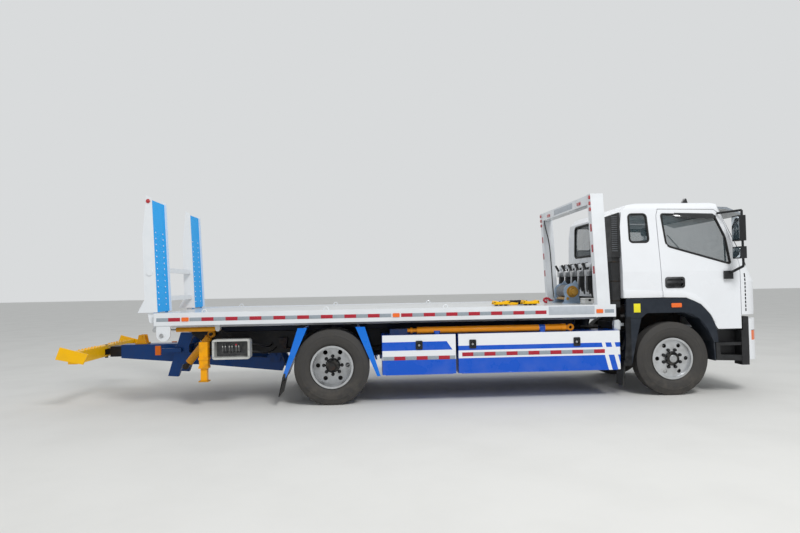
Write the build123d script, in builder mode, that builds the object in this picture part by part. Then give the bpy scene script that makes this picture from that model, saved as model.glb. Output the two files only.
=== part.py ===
from build123d import *
import math
import os

# Flatbed tow truck in millimetres. X points forward, Y to the driver's left, Z up.
# The origin is on the ground under the middle of the whole truck.

# Running gear
wheelbase = 4520
rear_axle_x = -1135
front_axle_x = rear_axle_x + wheelbase
tyre_radius = 487
tyre_width = 232
rim_radius = 262
dual_pitch = 268
rear_outer_face = 1100
front_outer_face = 1068
kingpin_y = 860
axle_z = tyre_radius

# Chassis
rail_outer_y = 430
rail_flange = 65
rail_web = 9
rail_bottom_z = 620
rail_height = 230
subframe_height = 72
chassis_tail_x = rear_axle_x - 1830
chassis_nose_x = front_axle_x + 960

# Deck
deck_overhang = 2223
deck_cab_gap = 137
deck_half_width = 1150
deck_rail_height = 160
deck_top_z = 1228
deck_rail_width = 60
deck_plate = 8
deck_tail_x = rear_axle_x - deck_overhang
deck_bottom_z = deck_top_z - deck_rail_height
slide_gap = 6
tilt_pivot_x = chassis_tail_x - 75
tilt_rail_outer_y = 412
tilt_rail_width = 80
tilt_rail_height = 128
guide_width = 55

# Ramps
ramp_hinge_x = deck_tail_x - 47
ramp_hinge_z = 1130
ramp_foot_z = deck_top_z + 8
ramp_inner_y = 540
ramp_outer_y = deck_half_width - 38

# Portal frame over the front of the deck
portal_depth = 170
portal_post_width = 118
portal_top_z = 2692
portal_lean = 60
portal_beam_height = 130

# Cab
cab_rear_x = front_axle_x - 658
cab_front_x = front_axle_x + 1250
deck_nose_x = cab_rear_x - deck_cab_gap
cab_half_width = 1080
cab_roof_z = 2585
cab_floor_z = 1305
cab_sill_z = 872
cab_wall = 38
cab_belt_z = 1650
cab_roof_half_width = 1000
cab_corner_radius = 290
windscreen_foot_z = 1660
door_gap = 8
door_rear_x = front_axle_x - 135
door_front_x = front_axle_x + 946

# Side boxes
box_bottom_z = 368
box_top_z = 880
box_outer_y = 1100
box_inner_y = 700
box_wall = 18
box_door = 26
small_box_x = rear_axle_x + 650
small_box_length = 960
long_box_x = rear_axle_x + 1640
long_box_length = front_axle_x - 730 - long_box_x

# Underlift
lift_pivot_x = rear_axle_x - 838
lift_pivot_z = 568
lift_half_width = 290
boom_half_width = 120
boom_top_z = 748
boom_bottom_z = 500
boom_end_x = rear_axle_x - 3035
crossbar_half_length = 940
crossbar_x = rear_axle_x - 3290

joint_clearance = 6
parts = []


def keep(built, name):
    """Labels a finished piece and lists it for export."""
    built.part.label = name
    parts.append(built.part)


def slab(x0, x1, y0, y1, z0, z1, mode=Mode.ADD, rounding=0):
    """A block between two corners, in the part that is being built, its upright edges rounded."""
    with BuildSketch(Plane.XY.offset(min(z0, z1))) as base:
        with Locations(((x0 + x1) / 2, (y0 + y1) / 2)):
            Rectangle(abs(x1 - x0), abs(y1 - y0))
        if rounding:
            fillet(base.vertices(), rounding)
    extrude(base.sketch, amount=abs(z1 - z0), mode=mode)


def side_plate(points, y0, y1, mode=Mode.ADD, rounding=0):
    """An outline of (x, z) points, extruded across the truck from y0 to y1."""
    with BuildSketch(Plane.XZ.offset(-max(y0, y1))) as outline:
        with BuildLine():
            Polyline(*points, close=True)
        make_face()
        if rounding:
            fillet(outline.vertices(), rounding)
    extrude(outline.sketch, amount=abs(y1 - y0), mode=mode)


def cross_tube(x, z, y0, y1, radius, mode=Mode.ADD):
    """A round bar along Y from y0 to y1."""
    with BuildSketch(Plane.XZ.offset(-max(y0, y1))) as end:
        with Locations((x, z)):
            Circle(radius)
    extrude(end.sketch, amount=abs(y1 - y0), mode=mode)


def rod_between(start, end, radius, mode=Mode.ADD):
    """A round bar from one point to another."""
    direction = Vector(*end) - Vector(*start)
    with BuildSketch(Plane(origin=start, z_dir=direction)) as end_face:
        Circle(radius)
    extrude(end_face.sketch, amount=direction.length, mode=mode)


def mirrored(y_pair, side):
    """A pair of Y values on the chosen side, lower one first."""
    return sorted(value * side for value in y_pair)


# Chassis frame: two channel rails, the sub-frame on them, cross-members and brackets
rail_top_z = rail_bottom_z + rail_height
subframe_top_z = rail_top_z + subframe_height
tilt_pivot_z = subframe_top_z + 8
rail_inner_y = rail_outer_y - rail_flange
crossmember_x = [rear_axle_x + offset for offset in (-1640, -620, 430)]
crossmember_x += [front_axle_x + offset for offset in (-2270, -1460, 820)]
pivot_lug_radius = 52
pivot_pin_radius = 30
leg_x = rear_axle_x - 1650
leg_y = 950
leg_tube = 108
leg_wall = 8
leg_tube_bottom_z = 500
leg_tube_top_z = 838
lift_cylinder_y = 500
lift_cylinder_top = (rear_axle_x - 1672, 905)
tilt_cylinder_y = 240
tilt_cylinder_base = (rear_axle_x + 760, 665)
with BuildPart() as chassis_frame:
    for side in (-1, 1):
        y_low, y_high = mirrored((rail_inner_y, rail_outer_y), side)
        slab(chassis_tail_x, chassis_nose_x, y_low, y_high, rail_bottom_z, rail_top_z)
        y_low, y_high = mirrored((rail_inner_y - 1, rail_outer_y - rail_web), side)
        slab(chassis_tail_x - 1, chassis_nose_x + 1, y_low, y_high, rail_bottom_z + rail_web,
             rail_top_z - rail_web, mode=Mode.SUBTRACT)
        y_low, y_high = mirrored((rail_inner_y, rail_outer_y), side)
        slab(chassis_tail_x, cab_rear_x - 362, y_low, y_high, rail_top_z, subframe_top_z)
    for x in crossmember_x:
        slab(x - 40, x + 40, -rail_outer_y + rail_web / 2,
             rail_outer_y - rail_web / 2, rail_bottom_z + 30, rail_top_z - 40)
    for side in (-1, 1):
        y_low, y_high = mirrored((lift_half_width + 12, lift_half_width + 42), side)
        side_plate([(lift_pivot_x - 70, lift_pivot_z - 90), (lift_pivot_x + 70, lift_pivot_z - 90),
                    (lift_pivot_x + 95, rail_top_z - 60), (lift_pivot_x - 95, rail_top_z - 60)],
                   y_low, y_high, rounding=20)
        y_low, y_high = mirrored((lift_half_width + 12, rail_outer_y - rail_web / 2), side)
        slab(lift_pivot_x - 60, lift_pivot_x + 60, y_low, y_high, rail_bottom_z + 30, rail_top_z - 60)
        y_low, y_high = mirrored((rail_outer_y, lift_cylinder_y - 62), side)
        slab(lift_cylinder_top[0] - 60, lift_cylinder_top[0] + 60, y_low, y_high,
             rail_top_z - 60, subframe_top_z)
        y_low, y_high = mirrored((rail_outer_y, lift_cylinder_y + 60), side)
        cross_tube(lift_cylinder_top[0], lift_cylinder_top[1], y_low, y_high, 22)
        y_low, y_high = mirrored((rail_outer_y - rail_web, leg_y), side)
        slab(leg_x - 40, leg_x + 40, y_low, y_high, rail_bottom_z + 20, rail_bottom_z + 85)
        y_low, y_high = mirrored((leg_y - leg_tube / 2, leg_y + leg_tube / 2), side)
        slab(leg_x - leg_tube / 2, leg_x + leg_tube / 2, y_low, y_high, leg_tube_bottom_z,
             leg_tube_top_z)
        for band_z in (leg_tube_bottom_z, leg_tube_bottom_z + 110):
            y_low, y_high = mirrored((leg_y - leg_tube / 2 - 8, leg_y + leg_tube / 2 + 8), side)
            slab(leg_x - leg_tube / 2 - 8, leg_x + leg_tube / 2 + 8, y_low, y_high, band_z,
                 band_z + 28)
        y_low, y_high = mirrored((leg_y - leg_tube / 2 + leg_wall, leg_y + leg_tube / 2 - leg_wall),
                                 side)
        slab(leg_x - leg_tube / 2 + leg_wall, leg_x + leg_tube / 2 - leg_wall, y_low, y_high,
             leg_tube_bottom_z - 1, leg_tube_top_z - 12, mode=Mode.SUBTRACT)
    cross_tube(lift_pivot_x, lift_pivot_z, -lift_half_width - 60, lift_half_width + 60, 26)
    for side in (-1, 1):
        y_low, y_high = mirrored((rail_outer_y, rail_outer_y + 18), side)
        cross_tube(tilt_pivot_x, tilt_pivot_z, y_low, y_high, pivot_lug_radius)
        side_plate([(tilt_pivot_x, tilt_pivot_z - pivot_lug_radius),
                    (chassis_tail_x + 150, rail_bottom_z + 60), (chassis_tail_x + 150, subframe_top_z),
                    (chassis_tail_x, subframe_top_z + 30),
                    (tilt_pivot_x, tilt_pivot_z + pivot_lug_radius)], y_low, y_high)
        y_low, y_high = mirrored((tilt_rail_outer_y - tilt_rail_width, rail_outer_y + 1), side)
        cross_tube(tilt_pivot_x, tilt_pivot_z, y_low, y_high, pivot_pin_radius)
        y_low, y_high = mirrored((tilt_cylinder_y + 60, rail_outer_y - rail_web / 2), side)
        slab(tilt_cylinder_base[0] - 40, tilt_cylinder_base[0] + 40, y_low, y_high,
             rail_bottom_z + 10, rail_bottom_z + 90)
        y_low, y_high = mirrored((tilt_cylinder_y - 60, rail_outer_y - rail_web / 2), side)
        cross_tube(tilt_cylinder_base[0], tilt_cylinder_base[1], y_low, y_high, 20)
keep(chassis_frame, "chassis_frame")

# Engine and gearbox as one plain block between the rails
with BuildPart() as engine_block:
    slab(front_axle_x - 420, front_axle_x + 520, -300, 300, rail_bottom_z + 10, 1180)
    slab(front_axle_x - 1150, front_axle_x - 419, -190, 190, 540, 860)
keep(engine_block, "engine_block")

# Axles: the front beam with its springs, the rear banjo housing with springs and shaft
spring_y = 480
spring_width = 76


def leaf_spring(centre_x, half_length, seat_z, side):
    """A stack of four leaves, arched, with an eye at each end."""
    y_low, y_high = mirrored((spring_y - spring_width / 2, spring_y + spring_width / 2), side)
    for leaf in range(4):
        reach = half_length * (1 - 0.2 * leaf)
        drop = 62 * (reach / half_length) ** 2
        z = seat_z - 11 * leaf
        with BuildSketch(Plane.XZ.offset(-y_high)) as leaf_side:
            with BuildLine():
                ThreePointArc((centre_x - reach, z + drop), (centre_x, z), (centre_x + reach, z + drop))
                Line((centre_x + reach, z + drop), (centre_x + reach, z + drop - 12))
                ThreePointArc((centre_x + reach, z + drop - 12), (centre_x, z - 12),
                              (centre_x - reach, z + drop - 12))
                Line((centre_x - reach, z + drop - 12), (centre_x - reach, z + drop))
            make_face()
        extrude(leaf_side.sketch, amount=y_high - y_low)
    for end in (-1, 1):
        cross_tube(centre_x + end * half_length, seat_z + 62, y_low, y_high, 24)


front_spring_z = 585
with BuildPart() as front_axle:
    for side in (-1, 1):
        leaf_spring(front_axle_x, 640, front_spring_z, side)
        y_low, y_high = mirrored((spring_y - 50, spring_y + 50), side)
        slab(front_axle_x - 70, front_axle_x + 70, y_low, y_high, axle_z - 40, front_spring_z - 40)
        for end in (-1, 1):
            y_low, y_high = mirrored((rail_outer_y, spring_y + spring_width / 2), side)
            x_mid = front_axle_x + end * 640
            side_plate([(x_mid - 34, front_spring_z + 34), (x_mid + 34, front_spring_z + 34),
                        (x_mid + 60, rail_top_z - 30), (x_mid - 60, rail_top_z - 30)], y_low, y_high)
    slab(front_axle_x - 45, front_axle_x + 45, -kingpin_y + 130, kingpin_y - 130,
         axle_z - 75, axle_z + 15)
    for side in (-1, 1):
        y_low, y_high = mirrored((kingpin_y - 190, kingpin_y - 40), side)
        slab(front_axle_x - 45, front_axle_x + 45, y_low, y_high, axle_z - 60, axle_z + 40)
        with BuildSketch(Plane.XY.offset(axle_z - 60)):
            with Locations((front_axle_x, side * kingpin_y)):
                Circle(48)
        extrude(amount=100)
        with BuildSketch(Plane.XY.offset(axle_z - 61)):
            with Locations((front_axle_x, side * kingpin_y)):
                Circle(24.3)
        extrude(amount=102, mode=Mode.SUBTRACT)
keep(front_axle, "front_axle")

rear_spring_z = 640
with BuildPart() as rear_axle:
    for side in (-1, 1):
        leaf_spring(rear_axle_x, 700, rear_spring_z, side)
        y_low, y_high = mirrored((spring_y - 55, spring_y + 55), side)
        slab(rear_axle_x - 75, rear_axle_x + 75, y_low, y_high, axle_z, rear_spring_z - 40)
        for end in (-1, 1):
            y_low, y_high = mirrored((rail_outer_y, spring_y + spring_width / 2), side)
            x_mid = rear_axle_x + end * 700
            side_plate([(x_mid - 34, rear_spring_z + 34), (x_mid + 34, rear_spring_z + 34),
                        (x_mid + 60, rail_top_z - 20), (x_mid - 60, rail_top_z - 20)], y_low, y_high)
    cross_tube(rear_axle_x, axle_z, -560, 560, 72)
    cross_tube(rear_axle_x, axle_z, -rear_outer_face + 60, rear_outer_face - 60, 44)
    with BuildSketch(Plane.YZ.offset(rear_axle_x - 110)):
        with Locations((0, axle_z)):
            Circle(190)
    extrude(amount=220)
    rod_between((rear_axle_x + 100, 0, axle_z + 20), (rear_axle_x + 420, 0, axle_z + 60), 70)
    rod_between((rear_axle_x + 400, 0, axle_z + 57), (front_axle_x - 1155, 0, 598), 40)
keep(rear_axle, "rear_axle")

# Knuckles with their steering arms, and the tie rod between the arms
arm_reach = 190
arm_end_y = kingpin_y - 80
arm_z = axle_z - 104
pin_radius = 24
for side, name in ((-1, "right"), (1, "left")):
    with BuildPart() as knuckle:
        for z in (axle_z - 104, axle_z + 46):
            with BuildSketch(Plane.XY.offset(z)):
                with Locations((front_axle_x, side * kingpin_y)):
                    Circle(46)
            extrude(amount=38)
        with BuildSketch(Plane.XY.offset(axle_z - 104)):
            with Locations((front_axle_x, side * kingpin_y)):
                Circle(pin_radius)
        extrude(amount=188)
        y_low, y_high = mirrored((kingpin_y + 54, kingpin_y + 78), side)
        slab(front_axle_x - 46, front_axle_x + 46, y_low, y_high, axle_z - 104, axle_z + 84)
        y_low, y_high = mirrored((kingpin_y, kingpin_y + 60), side)
        slab(front_axle_x - 40, front_axle_x + 40, y_low, y_high, axle_z + 48, axle_z + 84)
        slab(front_axle_x - 40, front_axle_x + 40, y_low, y_high, axle_z - 104, axle_z - 68)
        y_low, y_high = mirrored((kingpin_y + 70, front_outer_face - 70), side)
        cross_tube(front_axle_x, axle_z, y_low, y_high, 34)
        with BuildSketch(Plane.XY.offset(arm_z)):
            with BuildLine():
                Polyline((front_axle_x, side * (kingpin_y - 30)), (front_axle_x, side * (kingpin_y + 30)),
                         (front_axle_x - arm_reach, side * (arm_end_y + 22)),
                         (front_axle_x - arm_reach, side * (arm_end_y - 22)), close=True)
            make_face()
            with Locations((front_axle_x - arm_reach, side * arm_end_y)):
                Circle(28)
        extrude(amount=26)
    keep(knuckle, "knuckle_" + name)

with BuildPart() as tie_rod:
    rod_x = front_axle_x - arm_reach
    cross_tube(rod_x, arm_z - 34, -arm_end_y, arm_end_y, 19)
    for side in (-1, 1):
        with BuildSketch(Plane.XY.offset(arm_z - 60)):
            with Locations((rod_x, side * arm_end_y)):
                Circle(27)
        extrude(amount=55)
keep(tie_rod, "tie_rod")


def tyre_profile(centre_y):
    """The half section of one tyre, as (y, z) points from bead to bead, for revolving."""
    half = tyre_width / 2
    with BuildSketch(Plane.YZ) as section:
        with BuildLine():
            Polyline((centre_y - half + 30, rim_radius + 4), (centre_y - half + 30, rim_radius + 17),
                     (centre_y - half, rim_radius + 70))
            ThreePointArc((centre_y - half, rim_radius + 70), (centre_y - half - 4, rim_radius + 120),
                          (centre_y - half + 12, tyre_radius - 26))
            Line((centre_y - half + 12, tyre_radius - 26), (centre_y - half + 30, tyre_radius))
            Line((centre_y - half + 30, tyre_radius), (centre_y + half - 30, tyre_radius))
            Line((centre_y + half - 30, tyre_radius), (centre_y + half - 12, tyre_radius - 26))
            ThreePointArc((centre_y + half - 12, tyre_radius - 26),
                          (centre_y + half + 4, rim_radius + 120), (centre_y + half, rim_radius + 70))
            Polyline((centre_y + half, rim_radius + 70), (centre_y + half - 30, rim_radius + 17),
                     (centre_y + half - 30, rim_radius + 4), (centre_y - half + 30, rim_radius + 4))
        make_face()
    return section.sketch


def rim_profile(centre_y, side, dish_y):
    """Half section of one disc wheel: barrel, dished disc and mounting face."""
    half = tyre_width / 2 - 14
    outer = centre_y + side * half
    inner = centre_y - side * half
    wall = 11
    with BuildSketch(Plane.YZ) as section:
        with BuildLine():
            Polyline((inner, rim_radius + 14), (inner, rim_radius - wall),
                     (dish_y - side * 22, rim_radius - wall - 6), (dish_y - side * 14, 150),
                     (dish_y - side * 14, 78), (dish_y, 78), (dish_y, 150),
                     (dish_y - side * 6, rim_radius - wall - 6),
                     (outer, rim_radius - wall), (outer, rim_radius + 14),
                     (outer - side * 14, rim_radius + 3), (inner + side * 14, rim_radius + 3),
                     close=True)
        make_face()
    return section.sketch


hand_holes = 6
wheel_nuts = 8
for side, name in ((-1, "right"), (1, "left")):
    front_y = side * (front_outer_face - tyre_width / 2)
    rear_y = side * (rear_outer_face - tyre_width / 2)
    inner_rear_y = rear_y - side * dual_pitch
    front_tyre_face = tyre_profile(front_y)
    with BuildPart() as tyre_front:
        revolve(front_tyre_face, axis=Axis.Y)
    placed = Location((front_axle_x, 0, axle_z)) * tyre_front.part
    with BuildPart() as tyre_front_placed:
        add(placed)
    keep(tyre_front_placed, "tyre_front_" + name)

    rear_faces = [tyre_profile(rear_y), tyre_profile(inner_rear_y)]
    with BuildPart() as tyres_rear:
        for face in rear_faces:
            revolve(face, axis=Axis.Y)
    placed = Location((rear_axle_x, 0, axle_z)) * tyres_rear.part
    with BuildPart() as tyres_rear_placed:
        add(placed)
    keep(tyres_rear_placed, "tyres_rear_" + name)

    disc_y = front_y + side * 70
    front_rim_face = rim_profile(front_y, side, disc_y)
    with BuildPart() as rim_front:
        revolve(front_rim_face, axis=Axis.Y)
        y_low, y_high = sorted((disc_y - side * 13, disc_y + side * 42))
        cross_tube(0, 0, y_low, y_high, 84)
        y_low, y_high = sorted((disc_y - side * 60, disc_y + side * 1))
        cross_tube(0, 0, y_low, y_high, 92)
        for index in range(wheel_nuts):
            angle = math.radians(360 / wheel_nuts * index + 22.5)
            cross_tube(120 * math.cos(angle), 120 * math.sin(angle),
                       *sorted((disc_y - side * 1, disc_y + side * 24)), 14)
        for index in range(hand_holes):
            angle = math.radians(360 / hand_holes * index)
            cross_tube(195 * math.cos(angle), 195 * math.sin(angle),
                       *sorted((disc_y - side * 40, disc_y + side * 20)), 28, mode=Mode.SUBTRACT)
        y_low, y_high = sorted((disc_y - side * 112, disc_y - side * 9))
        cross_tube(0, 0, y_low, y_high, 34.5, mode=Mode.SUBTRACT)
    placed = Location((front_axle_x, 0, axle_z)) * rim_front.part
    with BuildPart() as rim_front_placed:
        add(placed)
    keep(rim_front_placed, "rim_front_" + name)

    deep_y = (rear_y + inner_rear_y) / 2 + side * 9
    outer_face = rim_profile(rear_y, side, deep_y + side * 14)
    inner_face = rim_profile(inner_rear_y, -side, deep_y - side * 14)
    with BuildPart() as rims_rear:
        revolve(outer_face, axis=Axis.Y)
        revolve(inner_face, axis=Axis.Y)
        cross_tube(0, 0, *sorted((deep_y - side * 60, deep_y + side * 10)), 105)
        cross_tube(0, 0, *sorted((deep_y + side * 9, deep_y + side * 150)), 82)
        for index in range(wheel_nuts):
            angle = math.radians(360 / wheel_nuts * index)
            cross_tube(120 * math.cos(angle), 120 * math.sin(angle),
                       *sorted((deep_y - side * 14, deep_y + side * 40)), 14)
        for index in range(hand_holes):
            angle = math.radians(360 / hand_holes * index)
            cross_tube(195 * math.cos(angle), 195 * math.sin(angle),
                       *sorted((deep_y - side * 40, deep_y + side * 40)), 30, mode=Mode.SUBTRACT)
        cross_tube(0, 0, *sorted((deep_y - side * 70, rear_y + side * (tyre_width / 2 - 50))), 44.5,
                   mode=Mode.SUBTRACT)
    placed = Location((rear_axle_x, 0, axle_z)) * rims_rear.part
    with BuildPart() as rims_rear_placed:
        add(placed)
    keep(rims_rear_placed, "rims_rear_" + name)

# Side boxes: open-fronted tool boxes on both sides, each hung from the chassis by two arms
boxes = [(-1, small_box_x, small_box_length), (-1, long_box_x, long_box_length),
         (1, small_box_x, long_box_x + long_box_length - small_box_x)]
box_names = ["box_door_right_small", "box_door_right_long", "box_door_left"]
with BuildPart() as side_boxes:
    for side, start_x, length in boxes:
        y_low, y_high = mirrored((box_inner_y, box_outer_y - box_door - joint_clearance), side)
        slab(start_x, start_x + length, y_low, y_high, box_bottom_z, box_top_z)
        y_low, y_high = mirrored((box_inner_y + box_wall, box_outer_y + 1), side)
        slab(start_x + box_wall, start_x + length - box_wall, y_low, y_high,
             box_bottom_z + box_wall, box_top_z - box_wall, mode=Mode.SUBTRACT)
        for arm_x in (start_x + 230, start_x + length - 230):
            y_low, y_high = mirrored((rail_outer_y, box_inner_y + 2), side)
            slab(arm_x - 30, arm_x + 30, y_low, y_high, rail_top_z - 90, rail_top_z - 20)
keep(side_boxes, "side_boxes")

for (side, start_x, length), name in zip(boxes, box_names):
    with BuildPart() as box_door_panel:
        y_low, y_high = mirrored((box_outer_y - box_door, box_outer_y), side)
        slab(start_x + 3, start_x + length - 3, y_low, y_high, box_bottom_z + 4, box_top_z)
        for latch_x in ((start_x + length / 2,) if length < 1200 else
                        (start_x + 190, start_x + length * 0.73)):
            y_low, y_high = mirrored((box_outer_y - 1, box_outer_y + 10), side)
            side_plate([(latch_x - 45, box_top_z - 190), (latch_x + 45, box_top_z - 190),
                        (latch_x + 45, box_top_z - 75), (latch_x - 45, box_top_z - 75)],
                       y_low, y_high, rounding=14)
            y_low, y_high = mirrored((box_outer_y - 8, box_outer_y + 11), side)
            slab(latch_x - 22, latch_x + 22, y_low, y_high, box_top_z - 165, box_top_z - 105,
                 mode=Mode.SUBTRACT)
        rod_between((start_x + 40, side * box_outer_y, box_bottom_z + 4),
                    (start_x + length - 40, side * box_outer_y, box_bottom_z + 4), 6)
    keep(box_door_panel, name)

# Mudguards fore and aft of the rear wheels, on a tube from the rail, with a flap behind
guard_inner_y = 640
guard_outer_y = 1108
guard_thickness = 26
flap_thickness = 12
with BuildPart() as rear_guards:
    for side in (-1, 1):
        y_low, y_high = mirrored((guard_inner_y, guard_outer_y), side)
        for end, foot_x, top_x in ((1, 585, 330), (-1, 595, 330)):
            foot = rear_axle_x + end * foot_x
            top = rear_axle_x + end * top_x
            step = end * guard_thickness
            side_plate([(top, 1000), (top + step, 1000), (foot + step, 362), (foot, 362)], y_low, y_high)
            skirt_low, skirt_high = mirrored((guard_outer_y - 10, guard_outer_y), side)
            side_plate([(top - end * 20, 1000), (top + end * 100, 1000), (foot + end * 40, 362),
                        (foot - end * 4, 362)], skirt_low, skirt_high)
            tube_x = rear_axle_x + end * (top_x + 60)
            arm_low, arm_high = mirrored((rail_outer_y, guard_inner_y + 30), side)
            cross_tube(tube_x, 890, arm_low, arm_high, 21)
        flap_x = rear_axle_x - 595 - guard_thickness
        side_plate([(flap_x + 31, 430), (flap_x + 17, 430), (flap_x - flap_thickness, 362),
                    (flap_x - flap_thickness - 50, 130), (flap_x - 50, 130), (flap_x + 6, 362)],
                   y_low, y_high)
keep(rear_guards, "rear_guards")

# Tow bar stowed on the side boxes: tube, neck, clamps, eye and the saddle it lies in
tow_bar_y = -1000
tow_bar_z = box_top_z + 52
tow_bar_x = rear_axle_x + 1112
tow_bar_length = 1918
with BuildPart() as tow_bar:
    rod_between((tow_bar_x, tow_bar_y, tow_bar_z), (tow_bar_x + tow_bar_length, tow_bar_y, tow_bar_z), 44)
    rod_between((tow_bar_x - 130, tow_bar_y, tow_bar_z), (tow_bar_x + 1, tow_bar_y, tow_bar_z), 26)
    rod_between((tow_bar_x - 85, tow_bar_y, tow_bar_z), (tow_bar_x - 60, tow_bar_y, tow_bar_z), 38)
    rod_between((tow_bar_x + tow_bar_length - 1, tow_bar_y, tow_bar_z),
                (tow_bar_x + tow_bar_length + 60, tow_bar_y, tow_bar_z), 49)
    slab(tow_bar_x - 355, tow_bar_x - 128, tow_bar_y - 35, tow_bar_y + 35, box_top_z, tow_bar_z + 25)
    slab(tow_bar_x + tow_bar_length + 58, tow_bar_x + tow_bar_length + 130, tow_bar_y - 16,
         tow_bar_y + 16, tow_bar_z - 30, tow_bar_z + 30)
    cross_tube(tow_bar_x + tow_bar_length + 130, tow_bar_z, tow_bar_y - 16, tow_bar_y + 16, 45)
    for saddle_x in (tow_bar_x + 260, tow_bar_x + tow_bar_length - 260):
        slab(saddle_x - 30, saddle_x + 30, tow_bar_y - 50, tow_bar_y + 50, box_top_z, tow_bar_z - 10)
    cross_tube(tow_bar_x + tow_bar_length + 130, tow_bar_z, tow_bar_y - 20, tow_bar_y + 20, 22,
               mode=Mode.SUBTRACT)
keep(tow_bar, "tow_bar")

# Air intake behind the cab: louvred box, down pipe and its bracket to the chassis
intake_x0 = cab_rear_x - 127
intake_x1 = cab_rear_x - 12
intake_y0 = -1040
intake_y1 = -800
louvres = 13
with BuildPart() as air_intake:
    side_plate([(intake_x0, 1850), (intake_x1, 1850), (intake_x1, 2452), (intake_x0, 2412)],
               intake_y0, intake_y1)
    slab(intake_x0 + 12, intake_x1 - 4, intake_y0 + 30, intake_y1 - 30, 1180, 1851)
    slab(intake_x0 + 20, intake_x0 + 60, intake_y0 + 60, -rail_outer_y, 900, 980)
    slab(intake_x0 + 20, intake_x0 + 60, intake_y0 + 60, intake_y1 - 60, 900, 1181)
    slab(intake_x0 + 20, intake_x0 + 60, -rail_outer_y - 30, -rail_outer_y, rail_top_z - 100, 980)
    louvre_pitch = (2300 - 1955) / (louvres - 1)
    for index in range(louvres):
        slab(intake_x0 + 25, intake_x1 - 25, intake_y0 - 1, intake_y0 + 12,
             1950 + index * louvre_pitch, 1964 + index * louvre_pitch, mode=Mode.SUBTRACT)
keep(air_intake, "air_intake")

# Control panel: an open tray with levers under the tail on the right, held to the chassis
panel_x0 = rear_axle_x - 1525
panel_x1 = rear_axle_x - 1048
panel_z0 = 616
panel_z1 = 872
with BuildPart() as control_panel:
    side_plate([(panel_x0, panel_z0), (panel_x1, panel_z0), (panel_x1, panel_z1), (panel_x0, panel_z1)],
               -1060, -900, rounding=30)
    side_plate([(panel_x0 + 26, panel_z0 + 26), (panel_x1 - 26, panel_z0 + 26),
                (panel_x1 - 26, panel_z1 - 26), (panel_x0 + 26, panel_z1 - 26)],
               -1061, -930, mode=Mode.SUBTRACT, rounding=14)
    slab(panel_x0 + 180, panel_x1 - 180, -905, -rail_outer_y, 730, 790)
    lever_x = [130, 165, 215, 250, 300, 335]
    for offset_x in lever_x:
        rod_between((panel_x0 + offset_x, -925, 690), (panel_x0 + offset_x, -1035, 730), 7)
        rod_between((panel_x0 + offset_x, -1030, 720), (panel_x0 + offset_x, -1040, 800), 9)
keep(control_panel, "control_panel")

# Front bumper: a curved shell, with head lamps let into it and an air slot between them
bumper_x = cab_front_x - 8
bumper_bottom_z = 455
bumper_top_z = 1000
bumper_shell = 60
bumper_corner = 260
bumper_split_x = bumper_x - 193
lamp_depth = 38


def bumper_form(inset, bottom_z, top_z):
    """The bumper's outer form between two heights, moved inwards by inset."""
    with BuildPart() as form:
        with BuildSketch(Plane.XY.offset(bottom_z)) as plan:
            with Locations((bumper_x - inset - 200, 0)):
                Rectangle(400, 2 * (cab_half_width - inset))
            fillet(plan.vertices().group_by(Axis.X)[-1], bumper_corner - inset)
        extrude(amount=top_z - bottom_z)
    return form.part


bumper_outside = bumper_form(0, bumper_bottom_z, bumper_top_z)
bumper_inside = bumper_form(bumper_shell, bumper_bottom_z - 1, bumper_top_z + 1)
with BuildPart() as lamp_space:
    for side in (-1, 1):
        y_low, y_high = mirrored((560, cab_half_width), side)
        slab(bumper_x - 150, bumper_x + 1, y_low, y_high, 712, 848)
with BuildPart() as lamp_volume:
    add(bumper_outside)
    add(bumper_form(lamp_depth, bumper_bottom_z - 1, bumper_top_z + 1), mode=Mode.SUBTRACT)
    add(lamp_space.part, mode=Mode.INTERSECT)
with BuildPart() as front_bumper:
    add(bumper_outside)
    add(bumper_inside, mode=Mode.SUBTRACT)
    slab(bumper_x - 500, bumper_split_x, -1200, 1200, 400, 1100, mode=Mode.SUBTRACT)
    slab(bumper_x - 70, bumper_x + 1, -430, 430, 535, 655, mode=Mode.SUBTRACT)
    for z in (565, 602):
        slab(bumper_x - 55, bumper_x - 12, -431, 431, z, z + 18)
    add(lamp_volume.part, mode=Mode.SUBTRACT)
    for side in (-1, 1):
        y_low, y_high = mirrored((rail_inner_y, rail_outer_y), side)
        slab(chassis_nose_x, bumper_x - bumper_shell + 2, y_low, y_high, rail_bottom_z + 50, rail_top_z)
keep(front_bumper, "front_bumper")
keep(lamp_volume, "head_lamps")

# Fenders: the arch mouldings round the front wheels, their liners and the flaps behind them
arch_outer_y = 1085
arch_inner_y = 720
arch_face = 34
liner = 18


def arch(points_x_z):
    """Points of an arch line, given from the front axle in X and from the ground in Z."""
    return [(front_axle_x + x, z) for x, z in points_x_z]


outer_line = [(190, 1290), (386, 1200), (514, 1062), (584, 915), (614, 760), (616, 696)]
inner_line = [(556, 696), (484, 855), (370, 1010), (270, 1072), (146, 1100)]
rear_outer_line = [(-668, 410), (-640, 720), (-622, 1298)]
rear_inner_line = [(-349, 1100), (-420, 1040), (-505, 700), (-568, 410)]
liner_line = [(566, 450), (556, 700), (480, 850), (364, 1013), (146, 1100), (-349, 1100),
              (-420, 1040), (-505, 700), (-568, 410), (-568 - liner, 410), (-505 - liner, 705),
              (-420 - liner, 1050), (-357, 1100 + liner), (150, 1100 + liner), (376, 1027),
              (496, 862), (576, 706), (566 + liner, 450)]


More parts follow.
